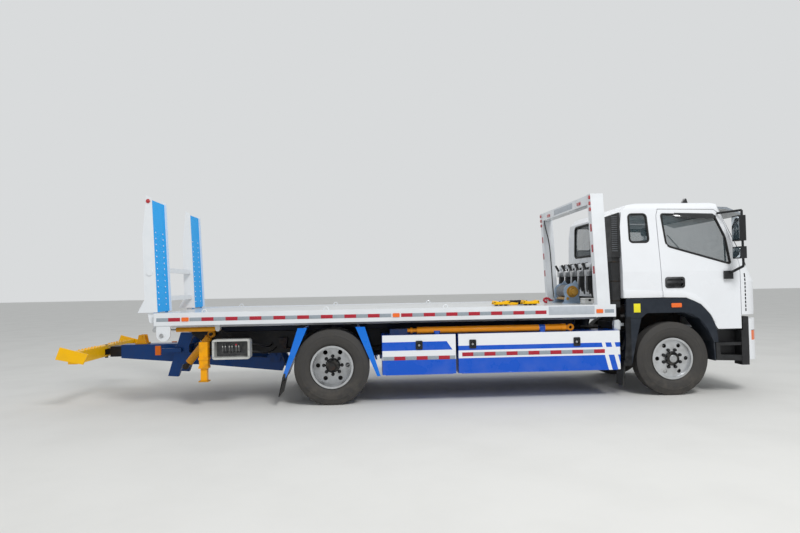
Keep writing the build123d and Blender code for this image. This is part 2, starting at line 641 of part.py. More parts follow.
def arch_face_plate(y_low, y_high, rear_x):
    """The moulding's face: straight behind the wheel, curved over and ahead of it."""
    with BuildSketch(Plane.XZ.offset(-y_high)) as face:
        with BuildLine():
            Polyline(*arch([(rear_x, 1100), (rear_x + 6, 1298), outer_line[0]]))
            Spline(*arch(outer_line))
            Line(*arch([outer_line[-1], inner_line[0]]))
            Spline(*arch(inner_line))
            Polyline(*arch([inner_line[-1], rear_inner_line[0], rear_inner_line[1], (rear_x, 1040),
                            (rear_x, 1100)]))
        make_face()
    extrude(face.sketch, amount=y_high - y_low)


with BuildPart() as fenders:
    for side in (-1, 1):
        y_low, y_high = mirrored((arch_outer_y - arch_face, arch_outer_y), side)
        arch_face_plate(y_low, y_high, -628)
        y_low, y_high = mirrored((arch_outer_y - arch_face - 6, arch_outer_y - 10), side)
        side_plate(arch(rear_outer_line + rear_inner_line), y_low, y_high)
        y_low, y_high = mirrored((arch_inner_y, arch_outer_y - 12), side)
        side_plate(arch(liner_line), y_low, y_high)
        y_low, y_high = mirrored((rail_outer_y, arch_inner_y + 1), side)
        slab(front_axle_x - 530, front_axle_x - 505, y_low, y_high, 760, 830)
        slab(front_axle_x + 545, front_axle_x + 570, y_low, y_high, 720, 790)
        y_low, y_high = mirrored((860, 1072), side)
        side_plate(arch([(-700, 150), (-682, 150), (-650, 480), (-674, 480)]), y_low, y_high)
        slab(front_axle_x - 674, front_axle_x - 570, y_low, y_high, 412, 480)
keep(fenders, "fenders")

# Steps under the doors: two treads in a well, ahead of them the black corner beside the bumper
step_outer_y = 1074
step_wall_y = 905
step_rear_x = front_axle_x + 590
step_front_x = front_axle_x + 940
corner_bottom_z = 385
corner_top_z = 1030
with BuildPart() as corner_space:
    for side in (-1, 1):
        y_low, y_high = mirrored((step_wall_y, 1200), side)
        side_plate([(step_front_x, corner_bottom_z), (step_front_x, 850), (door_front_x + 16, 850),
                    (door_front_x + 16, corner_top_z), (bumper_split_x - 4, corner_top_z),
                    (bumper_split_x - 4, corner_bottom_z)], y_low, y_high)
with BuildPart() as cab_steps:
    add(bumper_form(0, corner_bottom_z, corner_top_z))
    add(corner_space.part, mode=Mode.INTERSECT)
    for side in (-1, 1):
        y_low, y_high = mirrored((step_wall_y, step_outer_y), side)
        side_plate([(step_rear_x, 455), (step_front_x + 5, 440), (step_front_x + 5, 515),
                    (step_rear_x + 60, 528), (step_rear_x + 48, 690), (step_rear_x, 690)], y_low, y_high)
        slab(step_rear_x + 40, step_front_x + 5, y_low, y_high, 648, 688)
        for tread_z in (500, 668):
            for index in range(6):
                slot_x = step_rear_x + 92 + index * 44
                slot_low, slot_high = mirrored((step_wall_y + 45, step_outer_y - 26), side)
                slab(slot_x, slot_x + 20, slot_low, slot_high, tread_z - 80, tread_z + 40,
                     mode=Mode.SUBTRACT)
        y_low, y_high = mirrored((step_wall_y, step_wall_y + 22), side)
        slab(step_rear_x, step_front_x + 5, y_low, y_high, 455, 850)
        y_low, y_high = mirrored((rail_outer_y, step_wall_y + 1), side)
        slab(chassis_nose_x - 90, chassis_nose_x - 30, y_low, y_high, 655, 700)
keep(cab_steps, "cab_steps")

# Cab body: the side, front and plan outlines meet in one volume, and a smaller one is its inside
screen_drop = 70
screen_top = (front_axle_x + 795, 2500)
screen_slope = (cab_front_x - screen_drop - screen_top[0]) / (screen_top[1] - windscreen_foot_z)
plan_break_z = windscreen_foot_z - screen_drop / screen_slope
tunnel_half_width = 420
tunnel_front_x = front_axle_x + 640
arch_floor = arch([(190, cab_floor_z), (300, 1270), (396, 1210), (524, 1070), (594, 918),
                   (624, cab_sill_z)])
cab_side = ([(cab_rear_x, cab_floor_z)] + arch_floor
            + [(door_front_x + 6, cab_sill_z), (door_front_x + 6, 1056), (cab_front_x - 80, 1056),
               (cab_front_x, 1250), (cab_front_x - 10, 1400),
               (cab_front_x - screen_drop, windscreen_foot_z), screen_top,
               (screen_top[0] - 60, cab_roof_z - 35), (screen_top[0] - 170, cab_roof_z),
               (cab_rear_x + 290, cab_roof_z), (cab_rear_x + 120, cab_roof_z - 30),
               (cab_rear_x + 25, cab_roof_z - 130), (cab_rear_x, cab_belt_z + 600)])


def cab_plan(inset):
    """The plan outline: straight up to the windscreen's foot, then leaning back with it."""
    with BuildPart() as plan_solid:
        for base_z, height, lean in ((700, plan_break_z - 700, 0), (plan_break_z, 1400, screen_slope)):
            with BuildSketch(Plane.XY.offset(base_z)) as plan:
                with Locations((cab_front_x - 1696, 0)):
                    Rectangle(3400 - 2 * inset, 2 * (cab_half_width - inset))
                fillet(plan.vertices().group_by(Axis.X)[-1], cab_corner_radius - inset)
            extrude(plan.sketch, amount=height, dir=(-lean, 0, 1))
    return plan_solid.part


def cab_volume(inset):
    """The cab's outer form, moved inwards on every side by inset."""
    plan_solid = cab_plan(inset)
    with BuildPart() as volume:
        with BuildSketch(Plane.XZ.offset(-1200)) as side_view:
            with BuildLine():
                Polyline(*cab_side, close=True)
            make_face()
            if inset:
                offset(amount=-inset, kind=Kind.INTERSECTION, mode=Mode.REPLACE)
        extrude(side_view.sketch, amount=2400)
        with BuildSketch(Plane.YZ.offset(cab_rear_x - 100)) as front_view:
            with BuildLine():
                Polyline((-cab_half_width, 700), (cab_half_width, 700), (cab_half_width, cab_belt_z),
                         (cab_roof_half_width, cab_roof_z), (-cab_roof_half_width, cab_roof_z),
                         (-cab_half_width, cab_belt_z), close=True)
            make_face()
            if inset:
                offset(amount=-inset, kind=Kind.INTERSECTION, mode=Mode.REPLACE)
            fillet(front_view.vertices().group_by(Axis.Y)[-1], 110 - inset)
        extrude(front_view.sketch, amount=2200, mode=Mode.INTERSECT)
        add(plan_solid, mode=Mode.INTERSECT)
        slab(cab_rear_x - 50, tunnel_front_x + inset, -tunnel_half_width - inset,
             tunnel_half_width + inset, 600, cab_floor_z + inset, mode=Mode.SUBTRACT)
    return volume.part


def across(points, side, grow=0, corner=0):
    """A prism through one side of the cab, with the outline of (x, z) points moved out by grow."""
    with BuildPart() as prism:
        with BuildSketch(Plane.XZ.offset(-side * 750 - 550)) as outline:
            with BuildLine():
                Polyline(*points, close=True)
            make_face()
            if corner:
                fillet(outline.vertices(), corner)
            if grow:
                offset(amount=grow, kind=Kind.INTERSECTION, mode=Mode.REPLACE)
        extrude(outline.sketch, amount=1100)
    return prism.part


def door_zone(side, grow):
    """The space of one door: its outline seen from the side, and the wall's depth seen from ahead."""
    outline = across(door_outline, side, grow)
    inner_y = cab_half_width - cab_wall - grow
    lean = cab_half_width - cab_roof_half_width
    with BuildPart() as zone:
        with BuildSketch(Plane.YZ.offset(cab_rear_x)) as band:
            with BuildLine():
                Polyline((side * inner_y, 600), (side * inner_y, cab_belt_z),
                         (side * (inner_y - lean), cab_roof_z), (side * 1400, cab_roof_z),
                         (side * 1400, 600), close=True)
            make_face()
        extrude(band.sketch, amount=2200)
        add(outline, mode=Mode.INTERSECT)
    return zone.part


door_outline = [(door_rear_x + 13, 800), (door_rear_x + 13, 1310), (door_rear_x - 15, 2400),
                (door_rear_x + 10, 2490), (front_axle_x + 650, 2478), (front_axle_x + 748, 2400),
                (door_front_x + 2, 1735), (door_front_x, 1600), (door_front_x, 800)]
door_window = [(front_axle_x - 42, 2030), (front_axle_x - 86, 2425), (front_axle_x + 650, 2400),
               (front_axle_x + 778, 2105), (front_axle_x + 825, 1738), (front_axle_x - 10, 1985)]
quarter_window = [(cab_rear_x + 122, 2048), (cab_rear_x + 122, 2427), (cab_rear_x + 364, 2427),
                  (cab_rear_x + 382, 2048)]
windscreen_outline = [(-935, 1712), (935, 1712), (862, 2452), (-862, 2452)]
rear_window_outline = [(-740, 1920), (740, 1920), (740, 2410), (-740, 2410)]


def lengthwise(points, x0, x1, corner):
    """A prism along the truck from x0 to x1, with the outline of (y, z) points."""
    with BuildPart() as prism:
        with BuildSketch(Plane.YZ.offset(x0)) as outline:
            with BuildLine():
                Polyline(*points, close=True)
            make_face()
            fillet(outline.vertices(), corner)
        extrude(outline.sketch, amount=x1 - x0)
    return prism.part


cab_outside = cab_volume(0)
cab_inside = cab_volume(cab_wall)
glass_outside = cab_volume(14)
glass_inside = cab_volume(20)
fixed_windows = [lengthwise(windscreen_outline, front_axle_x + 540, cab_front_x + 50, 70),
                 lengthwise(rear_window_outline, cab_rear_x - 50, cab_rear_x + 120, 60),
                 across(quarter_window, -1, corner=45), across(quarter_window, 1, corner=45)]
with BuildPart() as front_panel_space:
    slab(door_front_x + 60, cab_front_x + 50, -1200, 1200, 1000, windscreen_foot_z - 25)

with BuildPart() as cab_shell:
    add(cab_outside)
    add(cab_inside, mode=Mode.SUBTRACT)
    for opening in fixed_windows:
        add(opening, mode=Mode.SUBTRACT)
    for side in (-1, 1):
        add(door_zone(side, door_gap), mode=Mode.SUBTRACT)
    add(front_panel_space.part, mode=Mode.SUBTRACT)
keep(cab_shell, "cab_shell")

slit_x = front_axle_x + 985
slit_width = 42
slit_depth = 12
slit_ribs = 9
with BuildPart() as corner_slits:
    slab(slit_x, slit_x + slit_width, -1200, 1200, 1100, 1600)
    for index in range(slit_ribs):
        rib_z = 1140 + index * 50
        slab(slit_x, slit_x + slit_width, -1200, 1200, rib_z, rib_z + 14, mode=Mode.SUBTRACT)
    add(cab_volume(slit_depth), mode=Mode.SUBTRACT)
with BuildPart() as cab_front:
    add(cab_outside)
    add(cab_inside, mode=Mode.SUBTRACT)
    add(front_panel_space.part, mode=Mode.INTERSECT)
    add(corner_slits.part, mode=Mode.SUBTRACT)
keep(cab_front, "cab_front")

# Grille: a frame that follows the front panel, with five bars
grille_half_width = 640
grille_proud = 16
grille_bars = 5
with BuildPart() as grille:
    side_plate([(cab_front_x - 60, 1190), (cab_front_x - 23 + grille_proud, 1190),
                (cab_front_x + grille_proud, 1252), (cab_front_x - 10 + grille_proud, 1402),
                (cab_front_x - 40 + grille_proud, 1530), (cab_front_x - 120, 1530)],
               -grille_half_width, grille_half_width)
    for index in range(grille_bars):
        slot_z = 1222 + index * 60
        for y_low, y_high in ((-grille_half_width + 30, -12), (12, grille_half_width - 30)):
            slab(cab_front_x - 130, cab_front_x + 60, y_low, y_high, slot_z, slot_z + 32,
                 mode=Mode.SUBTRACT)
    add(cab_outside, mode=Mode.SUBTRACT)
keep(grille, "grille")

with BuildPart() as window_spaces:
    for opening in fixed_windows:
        add(opening)
with BuildPart() as cab_glass:
    add(glass_outside)
    add(glass_inside, mode=Mode.SUBTRACT)
    add(window_spaces.part, mode=Mode.INTERSECT)
keep(cab_glass, "cab_glass")

# Doors with their glass and mirrors, hung on the front edge
handle_x = (front_axle_x - 86, front_axle_x + 184)
handle_z = (1427, 1575)


def handle_corners(inset):
    """Corners of the handle's plate, moved inwards by inset."""
    return [(handle_x[0] + inset, handle_z[0] + inset), (handle_x[1] - inset, handle_z[0] + inset),
            (handle_x[1] - inset, handle_z[1] - inset), (handle_x[0] + inset, handle_z[1] - inset)]


mirror_x = front_axle_x + 865
mirror_y = 1290
for side, name in ((-1, "right"), (1, "left")):
    space = door_zone(side, 0)
    window = across(door_window, side, corner=30)
    with BuildPart() as door:
        add(cab_outside)
        add(cab_inside, mode=Mode.SUBTRACT)
        add(space, mode=Mode.INTERSECT)
        add(window, mode=Mode.SUBTRACT)
        y_low, y_high = mirrored((cab_half_width - 1, cab_half_width + 8), side)
        side_plate(handle_corners(0), y_low, y_high, rounding=36)
        y_low, y_high = mirrored((cab_half_width - 20, cab_half_width + 9), side)
        side_plate(handle_corners(24), y_low, y_high, mode=Mode.SUBTRACT, rounding=24)
        y_low, y_high = mirrored((cab_half_width - 6, cab_half_width + 14), side)
        slab(handle_x[0] + 12, handle_x[1] - 12, y_low, y_high, handle_z[0] + 62, handle_z[0] + 98)
    keep(door, "door_" + name)

    with BuildPart() as door_glass:
        add(glass_outside)
        add(glass_inside, mode=Mode.SUBTRACT)
        add(window, mode=Mode.INTERSECT)
    keep(door_glass, "door_glass_" + name)

    with BuildPart() as mirror:
        y_low, y_high = mirrored((mirror_y - 95, mirror_y + 95), side)
        slab(mirror_x - 90, mirror_x, y_low, y_high, 2030, 2360, rounding=20)
        slab(mirror_x - 90, mirror_x, y_low, y_high, 1800, 1955, rounding=20)
        arm_y = side * mirror_y
        top = (mirror_x, arm_y, 2435)
        foot = (mirror_x, arm_y, 1700)
        rod_between(foot, top, 15)
        rod_between(top, (mirror_x - 180, side * 1030, 2425), 15)
        rod_between(foot, (mirror_x - 80, side * 1105, 1610), 17)
        y_low, y_high = mirrored((cab_half_width, cab_half_width + 45), side)
        slab(mirror_x - 150, mirror_x - 30, y_low, y_high, 1535, 1645, rounding=14)
    keep(mirror, "mirror_" + name)

# Sun visor over the windscreen
with BuildPart() as sun_visor:
    side_plate([(screen_top[0] - 60, 2528), (screen_top[0] + 90, 2522), (screen_top[0] + 320, 2425),
                (screen_top[0] + 314, 2402), (screen_top[0] + 80, 2494), (screen_top[0] - 60, 2498)],
               -930, 930)
    add(cab_outside, mode=Mode.SUBTRACT)
keep(sun_visor, "sun_visor")

# Inside of the cab: the dashboard with the steering wheel, and the seats
floor_top_z = cab_floor_z + cab_wall
foot_floor_z = cab_sill_z + cab_wall
wheel_y = 520
with BuildPart() as dashboard:
    side_plate([(front_axle_x + 750, 1620), (front_axle_x + 780, 1715), (front_axle_x + 1080, 1690),
                (front_axle_x + 1110, 1500), (front_axle_x + 1040, 1350), (front_axle_x + 810, 1330)],
               -900, 900)
    slab(front_axle_x + 830, front_axle_x + 900, -900, -640, foot_floor_z, 1345)
    slab(front_axle_x + 830, front_axle_x + 900, 640, 900, foot_floor_z, 1345)
    rod_between((front_axle_x + 800, wheel_y, 1640), (front_axle_x + 635, wheel_y, 1794), 26)
    wheel_plane = Plane(origin=(front_axle_x + 645, wheel_y, 1785), z_dir=(-15, 0, 14))
    with BuildSketch(wheel_plane):
        Circle(215)
        Circle(190, mode=Mode.SUBTRACT)
        Rectangle(395, 34)
        Circle(55)
    extrude(amount=24)
keep(dashboard, "dashboard")

with BuildPart() as seats:
    for centre_y in (-520, 520):
        side_plate([(front_axle_x + 40, floor_top_z), (front_axle_x + 180, floor_top_z),
                    (front_axle_x + 180, 1500), (front_axle_x + 520, 1510), (front_axle_x + 520, 1610),
                    (front_axle_x + 120, 1590), (front_axle_x + 20, 2150), (front_axle_x - 20, 2320),
                    (front_axle_x - 120, 2310), (front_axle_x - 90, 2140), (front_axle_x, 1560)],
                   centre_y - 250, centre_y + 250)
    side_plate([(cab_rear_x + 60, floor_top_z), (cab_rear_x + 420, floor_top_z),
                (cab_rear_x + 440, 1620), (cab_rear_x + 60, 1620)], -900, 900)
keep(seats, "seats")

# Tilt frame: two rails on the sub-frame, hinged at the tail, with cross-members
tilt_rail_bottom_z = subframe_top_z + slide_gap
tilt_rail_top_z = tilt_rail_bottom_z + tilt_rail_height
tilt_rail_inner_y = tilt_rail_outer_y - tilt_rail_width
tilt_nose_x = deck_nose_x - 325
tilt_cylinder_top = (rear_axle_x + 1950, 985)
tilt_member_x = [rear_axle_x + offset for offset in (-1500, -400, 560)]
tilt_member_x += [tilt_nose_x - 1100, tilt_nose_x - 300]
with BuildPart() as tilt_frame:
    for side in (-1, 1):
        y_low, y_high = mirrored((tilt_rail_inner_y, tilt_rail_outer_y), side)
        slab(tilt_pivot_x, tilt_nose_x, y_low, y_high, tilt_rail_bottom_z, tilt_rail_top_z)
        cross_tube(tilt_pivot_x, tilt_pivot_z, y_low, y_high, pivot_lug_radius)
        side_plate([(tilt_pivot_x - 40, tilt_pivot_z), (tilt_pivot_x + 40, tilt_pivot_z),
                    (tilt_pivot_x + 90, tilt_rail_top_z), (tilt_pivot_x - 40, tilt_rail_top_z)],
                   y_low, y_high)
        cross_tube(tilt_pivot_x, tilt_pivot_z, y_low - 1, y_high + 1, pivot_pin_radius + 0.3,
                   mode=Mode.SUBTRACT)
        y_low, y_high = mirrored((tilt_cylinder_y + 36, tilt_rail_inner_y + 1), side)
        cross_tube(tilt_cylinder_top[0], tilt_cylinder_top[1], y_low, y_high, 40)
    for x in tilt_member_x:
        slab(x - 35, x + 35, -tilt_rail_inner_y - 1, tilt_rail_inner_y + 1,
             tilt_rail_bottom_z + 20, tilt_rail_top_z - 15)
keep(tilt_frame, "tilt_frame")

# Deck: side rails, floor plate, cross-members, guide beams, hinge lugs and support lugs
deck_floor_top_z = deck_top_z - 8
deck_floor_z = deck_floor_top_z - deck_plate
guide_inner_y = tilt_rail_outer_y + 8
member_count = 11
member_depth = 55
crank_y = ramp_outer_y - 222
crank_slot = 36
crank_slot_length = 130
ramp_lug_y = [(ramp_inner_y + 52, ramp_inner_y + 82), (ramp_outer_y - 84, ramp_outer_y - 54)]
ramp_cylinder_y = ramp_outer_y - 200
ramp_cylinder_base = (rear_axle_x - 1480, 1000)
hinge_pin_radius = 16
with BuildPart() as deck:
    for side in (-1, 1):
        y_low, y_high = mirrored((deck_half_width - deck_rail_width, deck_half_width), side)
        slab(deck_tail_x, deck_nose_x, y_low, y_high, deck_bottom_z, deck_top_z)
        y_low, y_high = mirrored((deck_half_width - deck_rail_width - 1, deck_half_width - 8), side)
        slab(deck_tail_x + 10, deck_nose_x - 10, y_low, y_high, deck_bottom_z + 8, deck_floor_z,
             mode=Mode.SUBTRACT)
        y_low, y_high = mirrored((guide_inner_y, guide_inner_y + guide_width), side)
        slab(deck_tail_x, deck_nose_x, y_low, y_high, 1000, deck_floor_z + 1)
        y_low, y_high = mirrored((tilt_rail_outer_y - tilt_rail_width, guide_inner_y + 1), side)
        slab(deck_tail_x, deck_nose_x, y_low, y_high, tilt_rail_top_z + slide_gap, deck_floor_z + 1)
    slab(deck_tail_x, deck_nose_x, -deck_half_width + 4, deck_half_width - 4, deck_floor_z,
         deck_floor_top_z)
    slab(deck_tail_x, deck_tail_x + 10, -deck_half_width + 4, deck_half_width - 4, deck_bottom_z,
         deck_floor_z + 1)
    slab(deck_nose_x - 10, deck_nose_x, -deck_half_width + 4, deck_half_width - 4, deck_bottom_z,
         deck_floor_z + 1)
    for index in range(member_count):
        x = deck_tail_x + 180 + index * (deck_nose_x - deck_tail_x - 300) / (member_count - 1)
        slab(x - 30, x + 30, -deck_half_width + 4, deck_half_width - 4, deck_floor_z - member_depth,
             deck_floor_z + 1)
    for side in (-1, 1):
        y_low, y_high = mirrored((crank_y - crank_slot, crank_y + crank_slot + 22), side)
        slab(deck_tail_x - 1, deck_tail_x + crank_slot_length, y_low, y_high, deck_bottom_z - 1,
             deck_floor_z, mode=Mode.SUBTRACT)
        for pair in ramp_lug_y:
            y_low, y_high = mirrored(pair, side)
            side_plate([(deck_tail_x + 1, deck_bottom_z), (deck_tail_x + 1, ramp_hinge_z + 30),
                        (ramp_hinge_x, ramp_hinge_z + 30), (ramp_hinge_x, ramp_hinge_z - 30)],
                       y_low, y_high)
            cross_tube(ramp_hinge_x, ramp_hinge_z, y_low, y_high, 30)
            y_low, y_high = mirrored((pair[0] - 34, pair[1] + 34), side)
            cross_tube(ramp_hinge_x, ramp_hinge_z, y_low, y_high, hinge_pin_radius)
        y_low, y_high = mirrored((deck_half_width - 36, deck_half_width - 10), side)
        slab(deck_tail_x + 28, deck_tail_x + 200, y_low, y_high, 956, deck_bottom_z + 2)
        cross_tube(deck_tail_x + 114, 956, y_low, y_high, 86)
        y_low, y_high = mirrored((deck_half_width - 37, deck_half_width - 2), side)
        cross_tube(deck_tail_x + 114, 956, y_low, y_high, 30)
        for offset_y in (-34, 20):
            y_low, y_high = mirrored((ramp_cylinder_y + offset_y, ramp_cylinder_y + offset_y + 14), side)
            slab(ramp_cylinder_base[0] - 30, ramp_cylinder_base[0] + 30, y_low, y_high,
                 ramp_cylinder_base[1], deck_floor_z + 1)
            cross_tube(ramp_cylinder_base[0], ramp_cylinder_base[1], y_low, y_high, 30)
        y_low, y_high = mirrored((ramp_cylinder_y - 34, ramp_cylinder_y + 34), side)
        cross_tube(ramp_cylinder_base[0], ramp_cylinder_base[1], y_low, y_high, 14)
keep(deck, "deck")

# Portal frame at the nose of the deck
portal_x = deck_nose_x - 243
with BuildPart() as portal_frame:
    for side in (-1, 1):
        y_low, y_high = mirrored((deck_half_width - portal_post_width, deck_half_width), side)
        side_plate([(portal_x, deck_top_z), (portal_x + portal_depth, deck_top_z),
                    (portal_x + portal_depth - portal_lean, portal_top_z),
                    (portal_x - portal_lean, portal_top_z)], y_low, y_high)
        slab(portal_x, portal_x + portal_depth, *mirrored((deck_half_width - portal_post_width - 60,
             deck_half_width), side), deck_top_z, deck_top_z + 14)
    beam_x = portal_x - portal_lean
    slab(beam_x + 8, beam_x + portal_depth - 20, -deck_half_width + portal_post_width - 2,
         deck_half_width - portal_post_width + 2, portal_top_z - portal_beam_height, portal_top_z - 4)
keep(portal_frame, "portal_frame")

# Lamps of the deck: amber markers on the rails, red lamps at the tail and on the portal frame
marker_x = [deck_tail_x + 346, deck_tail_x + 3015, deck_nose_x - 262]
portal_lamp_z = [2488, 2567, 2646]
post_lean = portal_lean / (portal_top_z - deck_top_z)
with BuildPart() as deck_lamps:
    for side in (-1, 1):
        y_low, y_high = mirrored((deck_half_width, deck_half_width + 8), side)
        for x in marker_x:
            side_plate([(x, 1119), (x + 89, 1119), (x + 89, 1169), (x, 1169)], y_low, y_high, rounding=8)
        y_low, y_high = mirrored((230, 480), side)
        slab(deck_tail_x - 22, deck_tail_x, y_low, y_high, 1090, 1190)
        lamp_y = side * (deck_half_width - 32)
        for z in portal_lamp_z:
            face_x = portal_x - (z - deck_top_z) * post_lean
            rod_between((face_x + 1, lamp_y, z), (face_x - 14, lamp_y, z), 25)
        y_low, y_high = mirrored((640, 760), side)
        slab(portal_x - portal_lean - 4, portal_x - portal_lean + 8, y_low, y_high,
             portal_top_z - 100, portal_top_z - 60)
    add(portal_frame.part, mode=Mode.SUBTRACT)
keep(deck_lamps, "deck_lamps")

# Winch between two side plates, with the strap rack behind it
winch_x = deck_nose_x - 395
with BuildPart() as winch:
    for side in (-1, 1):
        y_low, y_high = mirrored((230, 248), side)
        side_plate([(winch_x, deck_floor_top_z), (winch_x + 240, deck_floor_top_z),
                    (winch_x + 220, 1500), (winch_x + 180, 1556), (winch_x + 50, 1420)], y_low, y_high)
    cross_tube(winch_x + 130, 1390, -249, 249, 85)
    cross_tube(winch_x + 130, 1390, -231, -215, 120)
    cross_tube(winch_x + 130, 1390, 215, 231, 120)
    cross_tube(winch_x + 60, 1290, -249, 249, 22)
    cross_tube(winch_x + 130, 1390, -330, -247, 62)
    cross_tube(winch_x + 130, 1390, -372, -329, 44)
    for side in (-1, 1):
        y_low, y_high = mirrored((200, 278), side)
        slab(winch_x - 14, winch_x + 254, y_low, y_high, deck_floor_top_z, deck_floor_top_z + 14)
keep(winch, "winch")

# Strap rack: a rail with five hanging straps behind the portal
with BuildPart() as strap_rack:
    rack_x = deck_nose_x - 70
    for side in (-1, 1):
        y_low, y_high = mirrored((820, 860), side)
        slab(rack_x - 20, rack_x + 20, y_low, y_high, deck_floor_top_z, 1760)
    slab(rack_x - 20, rack_x + 20, -861, 861, 1740, 1800)
    for index in range(5):
        y = -600 + index * 300
        slab(rack_x - 45, rack_x - 19, y - 45, y + 45, 1300, 1790)
keep(strap_rack, "strap_rack")

# Ramps: two tapered treads between side plates, joined by two cross bars, with hinge ears
side_sheet = 12
tread_recess = 28
ramp_front = [(deck_tail_x + 33, ramp_foot_z), (deck_tail_x - 32, 2690)]
ramp_outline = ramp_front + [(deck_tail_x - 100, 2735), (deck_tail_x - 149, 2210),
                             (deck_tail_x - 127, 1400), (deck_tail_x - 212, ramp_foot_z)]
lean_per_mm = (ramp_front[1][0] - ramp_front[0][0]) / (ramp_front[1][1] - ramp_front[0][1])


def ramp_line_x(z, depth):
    """X of a point at height z, at a depth behind the ramp's front edge."""
    return ramp_front[0][0] + (z - ramp_foot_z) * lean_per_mm - depth


bar_z = [1405, 1790]
rib_depth = 105
stud_rows = 13
stud_pitch = 78
stud_bottom_z = 1330
stud_inset = 150
stud_height = 8
stud_radius = 9
crank_pin = (ramp_hinge_x - 20, ramp_hinge_z - 130)
with BuildPart() as ramps:
    for side in (-1, 1):
        for inner in (ramp_inner_y, ramp_outer_y - side_sheet):
            y_low, y_high = mirrored((inner, inner + side_sheet), side)
            side_plate(ramp_outline, y_low, y_high)
        y_low, y_high = mirrored((ramp_inner_y + 2, ramp_outer_y - 2), side)
        side_plate([(ramp_line_x(ramp_foot_z, tread_recess), ramp_foot_z),
                    (ramp_line_x(2680, tread_recess), 2680),
                    (ramp_line_x(2680, tread_recess + 10), 2680),
                    (ramp_line_x(ramp_foot_z, tread_recess + 10), ramp_foot_z)], y_low, y_high)
        for z in range(1300, 2700, 280):
            side_plate([(ramp_line_x(z, tread_recess + 5), z), (ramp_line_x(z, tread_recess + 5), z + 10),
                        (ramp_line_x(z, rib_depth), z + 10), (ramp_line_x(z, rib_depth), z)], y_low, y_high)
        side_plate([(ramp_line_x(ramp_foot_z, tread_recess), ramp_foot_z),
                    (ramp_line_x(1300, tread_recess), 1300), (ramp_hinge_x - 60, 1300),
                    (ramp_hinge_x - 60, ramp_foot_z)], y_low, y_high)
        for y in (side * (ramp_inner_y + stud_inset), side * (ramp_outer_y - stud_inset)):
            for index in range(stud_rows):
                z = stud_bottom_z + index * stud_pitch
                rod_between((ramp_line_x(z, tread_recess + 2), y, z),
                            (ramp_line_x(z, tread_recess - stud_height), y, z), stud_radius)
        y_low, y_high = mirrored((ramp_outer_y - 2, ramp_outer_y + 12), side)
        cross_tube(ramp_line_x(1741, 0) - 70, 1741, y_low, y_high, 36)
        ears = [(pair[0] - 32, pair[0] - 5) for pair in ramp_lug_y]
        ears += [(pair[1] + 5, pair[1] + 32) for pair in ramp_lug_y]
        for pair in ears:
            y_low, y_high = mirrored(pair, side)
            side_plate([(ramp_hinge_x - 30, ramp_hinge_z), (ramp_hinge_x + 30, ramp_hinge_z),
                        (ramp_hinge_x + 38, ramp_foot_z + 30), (ramp_hinge_x - 60, ramp_foot_z + 60)],
                       y_low, y_high)
            cross_tube(ramp_hinge_x, ramp_hinge_z, y_low, y_high, 30)
            cross_tube(ramp_hinge_x, ramp_hinge_z, y_low - 1, y_high + 1, hinge_pin_radius + 0.3,
                       mode=Mode.SUBTRACT)
        y_low, y_high = mirrored((crank_y - 10, crank_y + 2), side)
        side_plate([(crank_pin[0] - 24, crank_pin[1]), (crank_pin[0] + 24, crank_pin[1]),
                    (ramp_hinge_x + 36, ramp_foot_z + 60), (ramp_hinge_x - 60, ramp_foot_z + 60)],
                   y_low, y_high)
        cross_tube(crank_pin[0], crank_pin[1], y_low, y_high, 26)
    for z in bar_z:
        side_plate([(ramp_line_x(z - 32, 40), z - 32), (ramp_line_x(z + 32, 40), z + 32),
                    (ramp_line_x(z + 32, 90), z + 32), (ramp_line_x(z - 32, 90), z - 32)],
                   -ramp_inner_y - 2, ramp_inner_y + 2)
keep(ramps, "ramps")


def cylinder_pair(name, base, top, pair_y, barrel_radius, rod_radius, pin_radius, barrel_share, eye_width,
                  retracts=0):
    """Two hydraulic cylinders side by side: barrels hinged at base, rods with an eye at top.
    The rods can go in by retracts from where they are."""
    length = math.hypot(top[0] - base[0], top[1] - base[1])
    ux = (top[0] - base[0]) / length
    uz = (top[1] - base[1]) / length
    barrel_end = length * barrel_share
    with BuildPart() as barrels:
        for side in (-1, 1):
            y = side * pair_y
            start = barrel_radius + 8
            cross_tube(base[0], base[1], y - eye_width / 2, y + eye_width / 2, barrel_radius)
            rod_between((base[0] + ux * 4, y, base[1] + uz * 4),
                        (base[0] + ux * start, y, base[1] + uz * start), barrel_radius * 0.6)
            rod_between((base[0] + ux * (start - 4), y, base[1] + uz * (start - 4)),
                        (base[0] + ux * barrel_end, y, base[1] + uz * barrel_end), barrel_radius)
            cross_tube(base[0], base[1], y - eye_width, y + eye_width, pin_radius + 0.3,
                       mode=Mode.SUBTRACT)
            rod_between((base[0] + ux * (start + 20), y, base[1] + uz * (start + 20)),
                        (base[0] + ux * (barrel_end + 5), y, base[1] + uz * (barrel_end + 5)),
                        rod_radius + 0.4, mode=Mode.SUBTRACT)
    keep(barrels, name + "_cylinders")
    with BuildPart() as rods:
        for side in (-1, 1):
            y = side * pair_y
            inside = start + 35 + retracts
            rod_between((base[0] + ux * inside, y, base[1] + uz * inside),
                        (top[0] - ux * 10, y, top[1] - uz * 10), rod_radius)
            cross_tube(top[0], top[1], y - eye_width / 2, y + eye_width / 2, rod_radius + 14)
    keep(rods, name + "_rods")


cylinder_pair("tilt", tilt_cylinder_base, tilt_cylinder_top, tilt_cylinder_y, 50, 28, 20, 0.84, 60)
cylinder_pair("ramp", ramp_cylinder_base, crank_pin, ramp_cylinder_y, 30, 15, 14, 0.66, 26, retracts=185)

